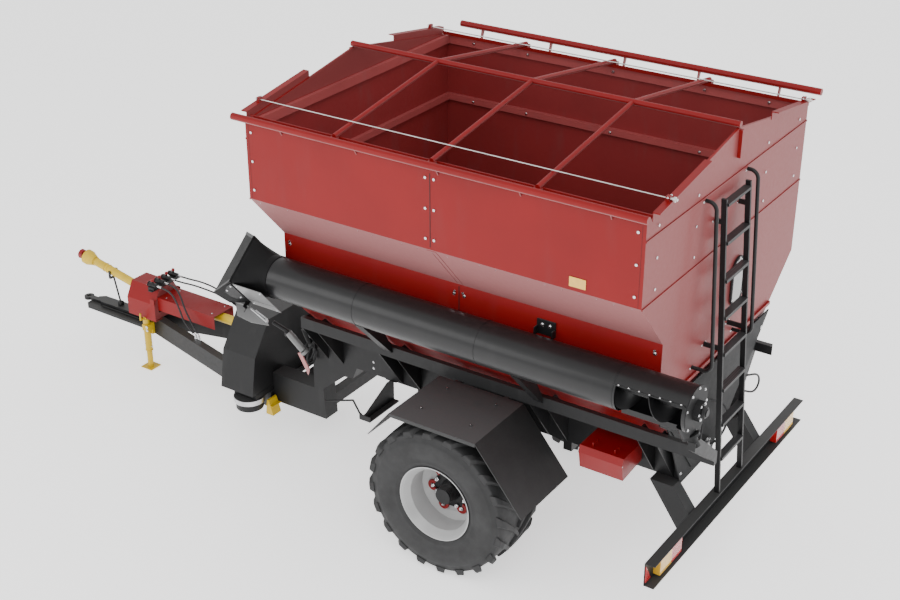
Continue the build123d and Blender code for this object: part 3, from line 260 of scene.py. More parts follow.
def moulded(name, colour, rough=(0.45, 0.62), grain=700, painted_top_highlight=None):
    """Moulded plastic with a fine grain, and an optional painted highlight on upward faces."""
    p = Paint(name)
    tone = p.mix(p.ramp(p.noise(9, 6), 0.35, 0.7), scaled(colour, 0.88), scaled(colour, 1.1))
    # Painted highlight: upward faces are mixed towards a lighter colour that stands in for light falling on
    # tops.
    if painted_top_highlight is not None:
        tone = p.mix(p.facing((0.0, 0.0, 1.0), 0.75, 0.98), tone, painted_top_highlight)
    p.colour(tone)
    p.rough(p.noise(40, 4), *rough)
    p.bump(p.noise(grain, 2), 0.0002, 0.5)
    return p.material


def steel(name, colour, rough=(0.25, 0.45), stretch=(1, 1, 14)):
    """Bright steel with drawn or ground lines and light stains."""
    p = Paint(name, metallic=1.0)
    lines = p.noise(60, 6, stretch)
    p.colour(p.mix(p.ramp(p.noise(14, 6), 0.35, 0.75), colour, scaled(colour, 0.72)))
    p.rough(lines, *rough)
    p.bump(lines, 0.0002, 0.4)
    return p.material


def rubber(name, colour, fine=260):
    p = Paint(name)
    p.colour(p.mix(p.ramp(p.noise(5, 8), 0.35, 0.72), scaled(colour, 0.8), scaled(colour, 1.5)))
    p.rough(p.noise(18, 6), 0.58, 0.82)
    low = p.bump(p.noise(30, 5), 0.0015, 0.35)
    p.bump(p.noise(fine, 3), 0.0006, 0.5, low)
    return p.material


def lens(name, colour):
    """Ribbed coloured lamp glass."""
    p = Paint(name, coat=1.0, coat_rough=0.04)
    p.colour(p.mix(p.noise(20, 3), scaled(colour, 0.75), scaled(colour, 1.2)))
    wave = p.add("ShaderNodeTexWave")
    wave.bands_direction = "Y"
    wave.inputs["Scale"].default_value = 32
    p.link(p.coords, wave.inputs["Vector"])
    p.rough(wave.outputs["Fac"], 0.12, 0.3)
    p.bump(wave.outputs["Fac"], 0.003, 0.6)
    return p.material


def grip(name, colour):
    """Black steel tread with rows of raised round teeth."""
    p = Paint(name, coat=0.2)
    cells = p.add("ShaderNodeTexVoronoi")
    cells.inputs["Scale"].default_value = 48
    cells.inputs["Randomness"].default_value = 0.0
    p.link(p.coords, cells.inputs["Vector"])
    teeth = p.ramp(cells.outputs["Distance"], 0.22, 0.34)
    p.colour(p.mix(teeth, scaled(colour, 3.0), colour))
    p.rough(p.noise(30, 4), 0.4, 0.6)
    p.bump(teeth, 0.003, -0.8)
    return p.material


# This red carries painted light: a painted reflection in paler red on high downward faces and on faces turned
# to -X.
RED = enamel("red_enamel", (0.200, 0.0045, 0.005), coat=0.05, rough=(0.38, 0.52), grime=0.15, spec=0.22,
             painted_reflection=(0.30, 0.125, 0.125), rear=(0.195, 0.040, 0.040))
# Painted sheen: the paler red of the inner rails stands in for light reflected off the paint; the grime
# streaks are dirt.
PAINTED_SHEEN_RED = enamel("painted_sheen_red", (0.30, 0.055, 0.055), coat=0.05, rough=(0.45, 0.6), grime=0.4)
RED_INSIDE = enamel("red_inside", (0.20, 0.014, 0.015), coat=0.05, rough=(0.5, 0.7), grime=0.4)
PALE_RED = enamel("pale_red", (0.42, 0.17, 0.17), coat=0.1, grime=0.3)
RED_PARTS = enamel("red_parts", (0.22, 0.004, 0.005), coat=0.12, rough=(0.3, 0.45), spec=0.3)
# The black paint has a painted highlight: its upward faces are lighter.
BLACK = enamel("black_enamel", (0.0085, 0.0085, 0.009), coat=0.05, rough=(0.38, 0.55), grime=0.5, spec=0.25,
               painted_top_highlight=(0.036, 0.036, 0.036))
BLACK_TUBE = enamel(
    "black_tube", (0.0065, 0.0065, 0.007), coat=0.10, rough=(0.30, 0.42), grime=0.25, spec=0.35
)
BLACK_HOOD = enamel("black_hood", (0.006, 0.006, 0.0063), coat=0.0, rough=(0.5, 0.65), grime=0.3, spec=0.12)
GREY_PLATE = enamel("grey_plate", (0.016, 0.016, 0.0165), coat=0.0, rough=(0.45, 0.6), grime=0.4, spec=0.12)
# The fender plastic has a painted highlight: its upward faces are lighter.
SHEET_BLACK = moulded(
    "fender_plastic", (0.019, 0.019, 0.0195), rough=(0.5, 0.65), grain=300, painted_top_highlight=(0.075, 0.075, 0.076)
)
YELLOW = enamel("yellow_paint", (0.56, 0.37, 0.010), coat=0.1, grime=0.3, spec=0.3)
YELLOW_GUARD = moulded("yellow_guard", (0.62, 0.42, 0.012), rough=(0.4, 0.55))
SILVER = enamel("rim_silver", (0.36, 0.36, 0.36), coat=0.2, rough=(0.35, 0.5), grime=0.7)
PALE_STEEL = steel("pale_steel", (0.62, 0.62, 0.63))
BOLT_STEEL = steel("bolt_steel", (0.78, 0.78, 0.79), rough=(0.18, 0.32), stretch=(1, 1, 1))
LIGHT_PLATE = enamel("light_plate", (0.15, 0.15, 0.15), coat=0.3, rough=(0.35, 0.5), grime=0.4)
CABLE = steel("cable_wire", (0.74, 0.72, 0.70), rough=(0.3, 0.5), stretch=(30, 1, 1))
TYRE = rubber("tyre_rubber", (0.013, 0.013, 0.0135))
HOSE = rubber("hose_rubber", (0.014, 0.014, 0.015), fine=900)
RED_LENS = lens("red_lens", (0.45, 0.012, 0.014))
AMBER_LENS = lens("amber_lens", (0.75, 0.42, 0.03))
PANE = enamel("clear_pane", (0.10, 0.095, 0.095), coat=1.0, rough=(0.1, 0.2), grime=0.3)
TREAD = grip("ladder_tread", (0.022, 0.022, 0.023))


def dress(material, *names):
    for name in names:
        NODES[name].data.materials.clear()
        NODES[name].data.materials.append(material)


dress(RED, "hopper_left", "hopper_right", "hopper_front", "hopper_rear", "gables", "rim_tubes", "roof_frame",
      "tarp_brackets", "shaft_cover")
dress(RED_INSIDE, "trough")
# The inner rails take the red with a painted sheen.
dress(PAINTED_SHEEN_RED, "inner_rails")
dress(RED_PARTS, "pto_yoke", "tool_box", "tool_box_lid")
dress(BLACK, "chassis_rails", "cross_members", "outriggers", "axle_beam", "bumper", "ladder", "neck_frame",
      "drawbar_frame", "drive_guard", "gearbox", "step_bracket", "auger_hinge", "auger_screw", "hub_left",
      "hub_right", "pto_support", "bottom_bearing", "couplers", "drawbar_damper")
dress(BLACK_TUBE, "auger_tube")
dress(BLACK_HOOD, "auger_hood")
dress(GREY_PLATE, "rear_plate", "auger_end_plate")
dress(SHEET_BLACK, "fenders")
dress(YELLOW, "jack_sleeve", "jack_leg", "wheel_chock")
dress(YELLOW_GUARD, "pto_guard", "inner_shaft")
dress(SILVER, "rim_left", "rim_right")
dress(PALE_STEEL, "bottom_screw")
dress(BLACK, "hitch_eye")
dress(LIGHT_PLATE, "hood_side_plate", "hood_flap")
dress(BOLT_STEEL, "panel_bolts")
dress(CABLE, "tarp_cables")
dress(PANE, "sight_glass")
dress(RED_LENS, "lamp_red")
dress(AMBER_LENS, "lamp_amber")


# ---------------------------------------------------------------- hoses
HOSE_R = 0.009
HOSES = (
    (0.165, 0.764, [(0, 0, 0), (-130, 0, 0), (-270, 36, -26), (-390, 85, -130), (-470, 110, -270),
                    (-600, 95, -372)]),
    (0.060, 0.820, [(0, 0, 0), (-150, 0, 0), (-300, 75, -28), (-420, 145, -140), (-505, 150, -275),
                    (-640, 196, -372)]),
    (-0.045, 1.181, [(0, 0, 0), (-140, 0, 0), (-280, -50, -16), (-410, -110, -60), (-545, -120, -75),
                     (-680, -160, -110), (-810, -190, -190), (-930, -186, -290), (-1060, -210, -372)]),
    (-0.150, 1.035, [(0, 0, 0), (-150, 0, 0), (-290, -32, -6), (-420, -70, -40), (-540, -120, -110),
                     (-660, -135, -200), (-780, -130, -290), (-910, -160, -372)]),
)


def smooth_tube(name, points, radius, material, body="wagon"):
    """A round hose, wire or rod along a smooth spline."""
    data = bpy.data.curves.new(name, "CURVE")
    data.dimensions = "3D"
    data.bevel_depth = radius
    data.bevel_resolution = 6
    data.resolution_u = 16
    data.use_fill_caps = True
    spline = data.splines.new("NURBS")
    spline.points.add(len(points) - 1)
    for point, place in zip(spline.points, points):
        point.co = (*place, 1)
    spline.use_endpoint_u = True
    spline.order_u = 3
    data.materials.append(material)
    piece = bpy.data.objects.new(name, data)
    SCENE.collection.objects.link(piece)
    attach(piece, body)
    return piece


def hose_places(y, route):
    """A hose's route in metres, from its coupler's place."""
    return [(COUPLER_X + dx / 1000, y + dy / 1000, COUPLER_Z + dz / 1000) for dx, dy, dz in route]


for number, (y, length, route) in enumerate(HOSES, start=1):
    places = hose_places(y, route)
    hose = smooth_tube(f"hydraulic_hose_{number}", places, HOSE_R, HOSE)
    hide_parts(f"hose_{number}")


# ---------------------------------------------------------------- shapes
def piece_from(name, mesh, material, body, smooth=False):
    mesh.materials.append(material)
    if smooth:
        for face in mesh.polygons:
            face.use_smooth = True
    piece = bpy.data.objects.new(name, mesh)
    SCENE.collection.objects.link(piece)
    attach(piece, body)
    return piece


class Shapes:
    """Many small solids gathered into one piece."""

    def __init__(self):
        self.bm = bmesh.new()

    def prism(self, place, way, radius, height, sides=6, taper=1.0, turn=0.0):
        """A prism from a place, along a way, with a small bevel at its far end."""
        way = Vector(way).normalized()
        side = way.orthogonal().normalized()
        up = way.cross(side)
        edge = min(height, radius) * 0.18
        rings = []
        for along, reach in ((0, radius), (height - edge, radius * taper), (height, radius * taper - edge)):
            ring = []
            for index in range(sides):
                angle = turn + 2 * math.pi * index / sides
                offset = side * math.cos(angle) * reach + up * math.sin(angle) * reach
                ring.append(self.bm.verts.new(Vector(place) + way * along + offset))
            rings.append(ring)
        for low, high in zip(rings, rings[1:]):
            for index in range(sides):
                after = (index + 1) % sides
                self.bm.faces.new((low[index], low[after], high[after], high[index]))
        self.bm.faces.new(rings[0][::-1])
        self.bm.faces.new(rings[-1])

    def bolt(self, place, way, radius=0.011, height=0.009):
        """A hexagon head on a round washer."""
        way = Vector(way).normalized()
        self.prism(place, way, radius * 1.45, height * 0.25, sides=20)
        self.prism(Vector(place) + way * height * 0.25, way, radius, height * 0.75, turn=0.4)

    def block(self, low, high, matrix=None):
        corners = []
        for x in (low[0], high[0]):
            for y in (low[1], high[1]):
                for z in (low[2], high[2]):
                    place = Vector((x, y, z))
                    corners.append(self.bm.verts.new(matrix @ place if matrix else place))
        for face in ((0, 1, 3, 2), (4, 6, 7, 5), (0, 4, 5, 1), (2, 3, 7, 6), (0, 2, 6, 4), (1, 5, 7, 3)):
            self.bm.faces.new([corners[i] for i in face])

    def plate(self, outline, way, thickness):
        """A flat plate with any outline, thickened along a way."""
        way = Vector(way).normalized() * thickness
        near = [self.bm.verts.new(Vector(p)) for p in outline]
        far = [self.bm.verts.new(Vector(p) + way) for p in outline]
        self.bm.faces.new(near[::-1])
        self.bm.faces.new(far)
        for index in range(len(outline)):
            after = (index + 1) % len(outline)
            self.bm.faces.new((near[index], near[after], far[after], far[index]))

    def rod(self, start, end, radius, sides=14):
        reach = Vector(end) - Vector(start)
        self.prism(start, reach, radius, reach.length, sides=sides)

    def finish(self, name, material, body, bevel=0.0):
        bmesh.ops.recalc_face_normals(self.bm, faces=self.bm.faces)
        mesh = bpy.data.meshes.new(name)
        self.bm.to_mesh(mesh)
        self.bm.free()
        piece = piece_from(name, mesh, material, body)
        if bevel:
            soften(piece, bevel)
        return piece


def soften(piece, width, segments=2):
    """Rounded edges that catch the light."""
    edge = piece.modifiers.new("edges", "BEVEL")
    edge.width = width
    edge.segments = segments
    edge.limit_method = "ANGLE"
    edge.angle_limit = math.radians(40)


# ---------------------------------------------------------------- tyres
LUGS = 20
LUG_H = 0.030
LUG_ROWS = 9                # sections along one lug
LUG_SKEW = 0.42             # how far a lug leans round the tyre, in radians
LUG_FOOT = 0.012            # how deep its foot is sunk in the carcass
CARCASS_R = TYRE_R - LUG_H
CARCASS_STEPS = 120
SHOULDER = 0.8              # share of the half width where the lugs start to fall away


def crown(y):
    """Radius of the tyre's carcass at a distance across it."""
    across = abs(y) / TYRE_HALF
    drop = 0.018 * across ** 2
    if across > 0.78:
        drop += 0.62 * (across - 0.78) ** 2 * TYRE_HALF * 4
    return CARCASS_R - drop


def tyre_profile():
    """Outline of the tyre's section, from one bead over the crown to the other, as (y, radius)."""
    side = [(0.262, 0.345), (0.274, 0.372), (0.286, 0.392), (0.289, 0.404), (0.286, 0.412), (0.296, 0.45),
            (0.300, 0.50), (0.299, 0.55), (0.294, 0.58), (0.290, 0.594), (0.284, 0.600)]
    top = [(TYRE_HALF * s, crown(TYRE_HALF * s)) for s in (0.9, 0.82, 0.7, 0.5, 0.25)]
    half = side + top
    return half + [(0.0, crown(0))] + [(-y, r) for y, r in half[::-1]]


def add_lug(bm, centre, half, start):
    """One tread lug, from the middle of the tyre out over its shoulder."""
    rows = []
    for step in range(LUG_ROWS):
        along = step / (LUG_ROWS - 1)
        y = half * (-0.012 + along * (TYRE_HALF - 0.006))
        skew = start - LUG_SKEW * along ** 0.85
        base = crown(min(abs(y), TYRE_HALF)) - LUG_FOOT
        past = abs(y) - TYRE_HALF * SHOULDER
        top = min(crown(y) + LUG_H, TYRE_R) if past < 0 else TYRE_R - 0.55 * past
        wide = 0.62 * (0.036 + 0.040 * along) / TYRE_R
        row = []
        for shift, r in ((-1.25, base), (-0.8, top), (0.8, top), (1.25, base)):
            angle = skew + shift * wide
            row.append(bm.verts.new(centre + Vector((r * math.cos(angle), y, r * math.sin(angle)))))
        rows.append(row)
    for a, b in zip(rows, rows[1:]):
        for k in range(3):
            bm.faces.new((a[k], a[k + 1], b[k + 1], b[k]))
        bm.faces.new((a[3], a[0], b[0], b[3]))
    bm.faces.new(rows[0])
    bm.faces.new(rows[-1][::-1])


def build_tyre(side):
    centre = Vector((AXLE_X, side * WHEEL_Y, TYRE_R))
    bm = bmesh.new()
    profile = tyre_profile()
    rings = []
    for index in range(CARCASS_STEPS):
        angle = 2 * math.pi * index / CARCASS_STEPS
        ring = []
        for y, r in profile:
            ring.append(bm.verts.new(centre + Vector((r * math.cos(angle), y, r * math.sin(angle)))))
        rings.append(ring)
    for index in range(CARCASS_STEPS):
        ring, after = rings[index], rings[(index + 1) % CARCASS_STEPS]
        for k in range(len(profile) - 1):
            bm.faces.new((ring[k], ring[k + 1], after[k + 1], after[k]))
    for half in (1, -1):
        for lug in range(LUGS):
            start = 2 * math.pi * (lug + (0.5 if half < 0 else 0)) / LUGS
            add_lug(bm, centre, half, start)
    bmesh.ops.recalc_face_normals(bm, faces=bm.faces)
    name = "left" if side > 0 else "right"
    mesh = bpy.data.meshes.new(f"lugged_tyre_{name}")
    bm.to_mesh(mesh)
    bm.free()
    tyre = piece_from(f"lugged_tyre_{name}", mesh, TYRE, f"wheel_{name}", smooth=True)
    soften(tyre, 0.006, 2)
    mesh.set_sharp_from_angle(angle=math.radians(38))
    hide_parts(f"tyre_{name}")


CLAMPS, CLAMP_R = 6, 0.188
STUDS, STUD_R = 8, 0.155


def build_wheel_details(side):
    name = "left" if side > 0 else "right"
    body = f"wheel_{name}"
    out = Vector((0, side, 0))
    face = WHEEL_Y - 0.005

    def at(radius, angle, reach):
        return Vector((AXLE_X + radius * math.cos(angle), side * reach, TYRE_R + radius * math.sin(angle)))

    plate = Shapes()
    plate.prism(at(0, 0, face), out, 0.176, 0.006, sides=56)
    plate.prism(at(0, 0, face), out, 0.135, 0.012, sides=48)
    plate.prism(at(0, 0, face + 0.012), out, 0.098, 0.030, sides=48, taper=0.93)
    plate.prism(at(0, 0, WHEEL_Y + 0.133), out, 0.074, 0.012, sides=40)
    plate.finish(f"hub_plate_{name}", BLACK, body)
    nuts = Shapes()
    for index in range(CLAMPS):
        angle = math.radians(60 * index - 6)
        nuts.prism(at(CLAMP_R, angle, face), out, 0.020, 0.032)
        nuts.prism(at(CLAMP_R, angle, face + 0.032), out, 0.010, 0.012, sides=16)
    for index in range(STUDS):
        angle = math.radians(45 * index + 22.5)
        nuts.prism(at(STUD_R, angle, face + 0.012), out, 0.021, 0.020)
        nuts.prism(at(STUD_R, angle, face + 0.032), out, 0.010, 0.012, sides=16)
    for index in range(STUDS):
        angle = math.radians(45 * index)
        nuts.bolt(at(0.064, angle, WHEEL_Y + 0.128), out, 0.0065, 0.008)
    nuts.finish(f"wheel_nuts_{name}", BOLT_STEEL, body)
    clamps = Shapes()
    for index in range(CLAMPS):
        middle = math.radians(60 * index - 6)
        centre = at(CLAMP_R, middle, face + 0.003)
        outer = []
        inner = []
        for step in range(11):
            turn = middle + math.pi + math.radians(50 + step * 26)
            outer.append(centre + Vector((0.052 * math.cos(turn), 0, 0.052 * math.sin(turn))))
            inner.append(centre + Vector((0.025 * math.cos(turn), 0, 0.025 * math.sin(turn))))
        for a, b, c, d in zip(outer, outer[1:], inner[1:], inner):
            clamps.plate([a, b, c, d], out, 0.020)
    clamps.finish(f"wheel_clamps_{name}", RED_PARTS, body, 0.0015)


for wheel_side in (1, -1):
    build_tyre(wheel_side)
    build_wheel_details(wheel_side)


# ---------------------------------------------------------------- hopper details
def build_hopper_details():
    seams = Shapes()
    gap = 0.0035
    seams.block((AXLE_X - gap, LEFT, KNEE_Z + 0.02), (AXLE_X + gap, LEFT + 0.0015, RIM_Z - 0.05))
    seams.block((AXLE_X - gap, -LEFT - 0.0015, 2.46), (AXLE_X + gap, -LEFT, RIM_Z - 0.05))
    seams.block((AXLE_X - gap, LOWER_WALL_Y, 2.05), (AXLE_X + gap, LOWER_WALL_Y + 0.0015, 2.63))
    for x in (FRONT_WALL - 0.030, REAR_WALL + 0.030):
        seams.block((x - 0.001, LEFT, KNEE_Z), (x + 0.001, LEFT + 0.001, RIM_Z - 0.03))
    seams.finish("panel_seams", BLACK, "wagon")
    flange = Shapes()
    start = Vector((0, LEFT, KNEE_Z))
    lip = (Vector((0, LOWER_WALL_Y, LOWER_WALL_Z)) - start).normalized()
    out = Vector((0, -lip.z, lip.y))
    for x in (AXLE_X + 0.004, AXLE_X - 0.044):
        a = start + lip * 0.02
        b = start + lip * 0.60
        flange.plate([(x, a.y, a.z), (x + 0.040, a.y, a.z), (x + 0.040, b.y, b.z), (x, b.y, b.z)], out, 0.003)
    flange.finish("slope_seam_strips", RED, "wagon", 0.001)
    rivets = Shapes()
    for index in range(25):
        x = REAR_WALL + 0.09 + index * (FRONT_WALL - REAR_WALL - 0.18) / 24
        place = start + lip * 0.045
        rivets.prism((x, place.y, place.z), out, 0.005, 0.003, sides=10)
    for z in (2.15, 2.55):
        for x in (FRONT_WALL - 0.06, AXLE_X + 0.05, AXLE_X - 0.05, REAR_WALL + 0.06):
            rivets.bolt((x, LOWER_WALL_Y, z), (0, 1, 0))
    for x in (AXLE_X + 0.9, AXLE_X - 0.9, AXLE_X, AXLE_X + 1.5, AXLE_X - 1.5):
        for z in (KNEE_Z + 0.055, RIM_Z - 0.05):
            for side in (1, -1):
                rivets.bolt((x, side * (LEFT - 0.050), z), (0, -side, 0), 0.010, 0.008)
    rivets.finish("hopper_rivets", BOLT_STEEL, "wagon")
    plate = Shapes()
    x, half, low, high = AXLE_X - 1.305, 0.07, 3.145, 3.225
    plate.plate(
        [(x - half, LEFT, low), (x + half, LEFT, low), (x + half, LEFT, high), (x - half, LEFT, high)],
        (0, 1, 0),
        0.006,
    )
    plate.finish("side_reflector", AMBER_LENS, "wagon", 0.003)
    bracket = Shapes()
    x, face = AXLE_X - 0.828, LOWER_WALL_Y + 0.012
    bracket.block((x - 0.085, LOWER_WALL_Y, 2.43), (x + 0.085, face, 2.56))
    bracket.block((x - 0.085, face, 2.43), (x - 0.075, 1.14, 2.50))
    bracket.block((x + 0.075, face, 2.43), (x + 0.085, 1.14, 2.50))
    bracket.finish("wall_bracket", BLACK, "wagon", 0.002)
    pins = Shapes()
    for shift in (-0.035, 0.035):
        pins.bolt((x + shift, face, 2.515), (0, 1, 0), 0.013, 0.011)
    pins.finish("wall_bracket_bolts", BOLT_STEEL, "wagon")


def build_interior():
    """Darker liner sheets just inside the walls, where the paint is dull and scuffed."""
    liner = Shapes()
    inside = LEFT - 0.0055
    x0, x1 = REAR_WALL + 0.0055, FRONT_WALL - 0.0055
    skin = 0.0012
    liner.block((x0, inside - skin, KNEE_Z + 0.005), (x1, inside, RIM_Z - 0.002))
    liner.block((x0, -inside, 2.44), (x1, -inside + skin, RIM_Z - 0.002))
    for x in (x0, x1 - skin):
        ends = [(x, inside, RIM_Z - 0.002), (x, inside, 3.118), (x, 1.069, 2.650), (x, 1.069, 2.034),
                (x, 0.46, 1.385), (x, 0.08, 1.385), (x, -0.672, 1.822), (x, -inside, 2.442),
                (x, -inside, RIM_Z - 0.002)]
        liner.plate(ends, (1, 0, 0), skin)
    slope = [(inside, 3.113), (1.0715, 2.648), (1.0715, 2.032), (0.457, 1.372)]
    for (y0, z0), (y1, z1) in zip(slope, slope[1:]):
        liner.plate([(x0, y0, z0), (x1, y0, z0), (x1, y1, z1), (x0, y1, z1)], (0, -1, 0), skin)
    slope = [(-inside, 2.442), (-0.680, 1.818), (0.084, 1.374)]
    for (y0, z0), (y1, z1) in zip(slope, slope[1:]):
        liner.plate([(x0, y0, z0), (x1, y0, z0), (x1, y1, z1), (x0, y1, z1)], (0, 0, 1), skin)
    liner.finish("hopper_liner", RED_INSIDE, "wagon")


build_hopper_details()
build_interior()


# ---------------------------------------------------------------- auger details
def tube_at(x, angle, reach):
    turn = math.radians(angle)
    return Vector((x, TUBE_Y + reach * math.cos(turn), TUBE_Z + reach * math.sin(turn)))


def hood_at(x, across, away):
    """A point in the hood's own section: across it, outward and down, and away from it, outward and up."""
    return Vector((
        AXLE_X + x,
        TUBE_Y + across * math.cos(HOOD_ROLL) + away * math.sin(HOOD_ROLL),
        TUBE_Z - across * math.sin(HOOD_ROLL) + away * math.cos(HOOD_ROLL),
    ))


def build_auger_details():
    bolts = Shapes()
    for index in range(7):
        x = AXLE_X - 2.19 + index * 0.085
        high = tube_at(x, 30, TUBE_R + 0.024)
        bolts.bolt(high + (tube_at(x, 120, 0.008) - tube_at(x, 0, 0)), (0, math.cos(2.094), math.sin(2.094)),
                   0.008, 0.007)
        if x > AXLE_X - 2.07:
            low = tube_at(x, -90, TUBE_R + 0.024)
            bolts.bolt(low + Vector((0, -0.008, 0)), (0, -1, 0), 0.008, 0.007)
    for angle in range(0, 360, 60):
        bolts.bolt(tube_at(AXLE_X - 2.288, angle, 0.062), (-1, 0, 0), 0.009, 0.008)
    for angle in (20, 60, 100, 140, 180, -40):
        bolts.bolt(tube_at(AXLE_X - 2.238, angle, 0.172), (-1, 0, 0), 0.008, 0.007)
    bolts.finish("auger_bolts", BOLT_STEEL, "auger")
    ring = Shapes()
    ring.prism((AXLE_X - 2.296, TUBE_Y, TUBE_Z), (-1, 0, 0), 0.046, 0.026, sides=32)
    ring.finish("auger_bearing_cap", BLACK, "auger")
    lip = Shapes()
    for side in (1, -1):
        a, b = hood_at(2.030, side * 0.234, 0.194), hood_at(2.279, side * 0.318, 0.002)
        c, d = hood_at(2.279, side * 0.288, 0.002), hood_at(2.030, side * 0.204, 0.194)
        normal = (b - a).cross(d - a)
        if normal.x < 0:
            normal = -normal
        lip.plate([a, b, c, d], normal, 0.004)
    lip.finish("hood_lips", BLACK, "auger", 0.0015)
    band = Shapes()
    for x in (-1.63, -0.4, 0.8):
        place = Vector((AXLE_X + x, TUBE_Y, TUBE_Z))
        steps = 48
        for index in range(steps):
            one, two = 2 * math.pi * index / steps, 2 * math.pi * (index + 1) / steps
            outline = []
            outer = TUBE_R + 0.0025
            for angle, reach in ((one, TUBE_R), (two, TUBE_R), (two, outer), (one, outer)):
                outline.append(place + Vector((0, reach * math.cos(angle), reach * math.sin(angle))))
            band.plate(outline, (1, 0, 0), 0.006)
    band.finish("tube_weld_seams", BLACK_TUBE, "auger")
    levers = Shapes()
    up_way = hood_at(0, 0, 1) - hood_at(0, 0, 0)
    levers.rod(hood_at(2.000, 0.286, -0.221), hood_at(1.790, 0.352, -0.221), 0.009)
    levers.rod(hood_at(1.950, 0.286, -0.223), hood_at(1.790, 0.330, -0.223), 0.007)
    levers.prism(hood_at(1.790, 0.345, -0.232), up_way, 0.016, 0.022, sides=20)
    levers.finish("flap_levers", PALE_STEEL, "outlet_flap")
    # Painted shade: a thin black strip laid on the light side plate where the plate's fold would show as a
    # line of shade.
    painted_crease_shade = Shapes()
    a, b = hood_at(1.695, 0.2362, -0.100), hood_at(2.008, 0.2362, -0.118)
    c, d = hood_at(2.008, 0.2362, -0.123), hood_at(1.695, 0.2362, -0.105)
    painted_crease_shade.plate([a, b, c, d], hood_at(0, 1, 0) - hood_at(0, 0, 0), 0.0006)
    painted_crease_shade.finish("side_plate_painted_crease_shade", BLACK, "auger")
    plate = Shapes()
    outline = []
    corners = ((2.030, 0.168), (2.090, 0.120), (2.158, 0.02), (2.150, -0.06), (2.120, -0.115),
               (2.030, -0.115))
    for x, away in corners:
        outline.append(hood_at(x, HOOD_HALF + 0.0045 + (x - 2.03) * HOOD_FLARE_SLOPE, away))
    plate.plate(outline, hood_at(0, 1, 0) - hood_at(0, 0, 0), 0.006)
    plate.finish("hood_cheek_plate", BLACK, "auger", 0.002)
    studs = Shapes()
    side_way = hood_at(0, 1, 0) - hood_at(0, 0, 0)
    for x, away in ((2.05, 0.12), (2.12, 0.05), (2.06, -0.09)):
        across = HOOD_HALF + 0.010 + (x - 2.03) * HOOD_FLARE_SLOPE
        studs.bolt(hood_at(x, across, away), side_way, 0.009, 0.008)
    for x, away in ((1.72, 0.13), (1.98, 0.13), (1.72, -0.19), (1.98, -0.19)):
        studs.bolt(hood_at(x, 0.236, away), side_way, 0.008, 0.006)
    studs.finish("hood_studs", BOLT_STEEL, "auger")


build_auger_details()


# ---------------------------------------------------------------- chassis, drawbar and rear details
def build_side_valves():
    """Valve, cylinder and hoses behind the drive guard, under the hood."""
    dark = Shapes()
    dark.rod((AXLE_X + 1.93, 0.76, 1.52), (AXLE_X + 1.90, 0.72, 1.36), 0.026, 24)
    dark.block((AXLE_X + 1.86, 0.62, 1.30), (AXLE_X + 1.94, 0.70, 1.42))
    dark.finish("valve_block", BLACK, "wagon", 0.003)
    bottle = Shapes()
    bottle.prism((AXLE_X + 1.90, 0.70, 1.44), (-0.1, 0.2, 0.9), 0.045, 0.13, sides=32, taper=0.9)
    bottle.prism((AXLE_X + 1.887, 0.726, 1.558), (-0.1, 0.2, 0.9), 0.018, 0.04, sides=24)
    bottle.finish("accumulator", LIGHT_PLATE, "wagon")
    arm = Shapes()
    arm.rod((AXLE_X + 2.153, 0.93, 1.600), (AXLE_X + 2.024, 0.87, 1.510), 0.020, 24)
    arm.prism((AXLE_X + 2.03, 0.87, 1.515), (0.0, -0.05, -1.0), 0.034, 0.05, sides=28)
    arm.finish("lift_cylinder_head", BLACK, "wagon")
    barrel = Shapes()
    barrel.rod((AXLE_X + 2.024, 0.87, 1.500), (AXLE_X + 1.870, 0.85, 1.350), 0.034, 28)
    barrel.rod((AXLE_X + 1.870, 0.85, 1.350), (AXLE_X + 1.850, 0.84, 1.325), 0.040, 28)
    barrel.finish("lift_cylinder", LIGHT_PLATE, "wagon")
    link = Shapes()
    link.plate([(AXLE_X + 1.945, 0.85, 1.300), (AXLE_X + 1.905, 0.85, 1.320), (AXLE_X + 1.812, 0.85, 1.165),
                (AXLE_X + 1.830, 0.85, 1.100)], (0, -1, 0), 0.012)
    link.finish("lift_link", PALE_RED, "wagon", 0.002)
    loops = (
        [(1.88, 0.66, 1.38), (1.90, 0.74, 1.30), (1.92, 0.76, 1.18), (1.93, 0.70, 1.10), (1.93, 0.62, 1.12),
         (1.92, 0.60, 1.22)],
        [(1.89, 0.68, 1.40), (1.93, 0.78, 1.34), (1.95, 0.80, 1.22), (1.95, 0.74, 1.13), (1.94, 0.63, 1.16),
         (1.93, 0.60, 1.28)],
    )
    for number, route in enumerate(loops, start=1):
        smooth_tube(f"valve_pipe_{number}", [(AXLE_X + x, y, z) for x, y, z in route], 0.010, HOSE)


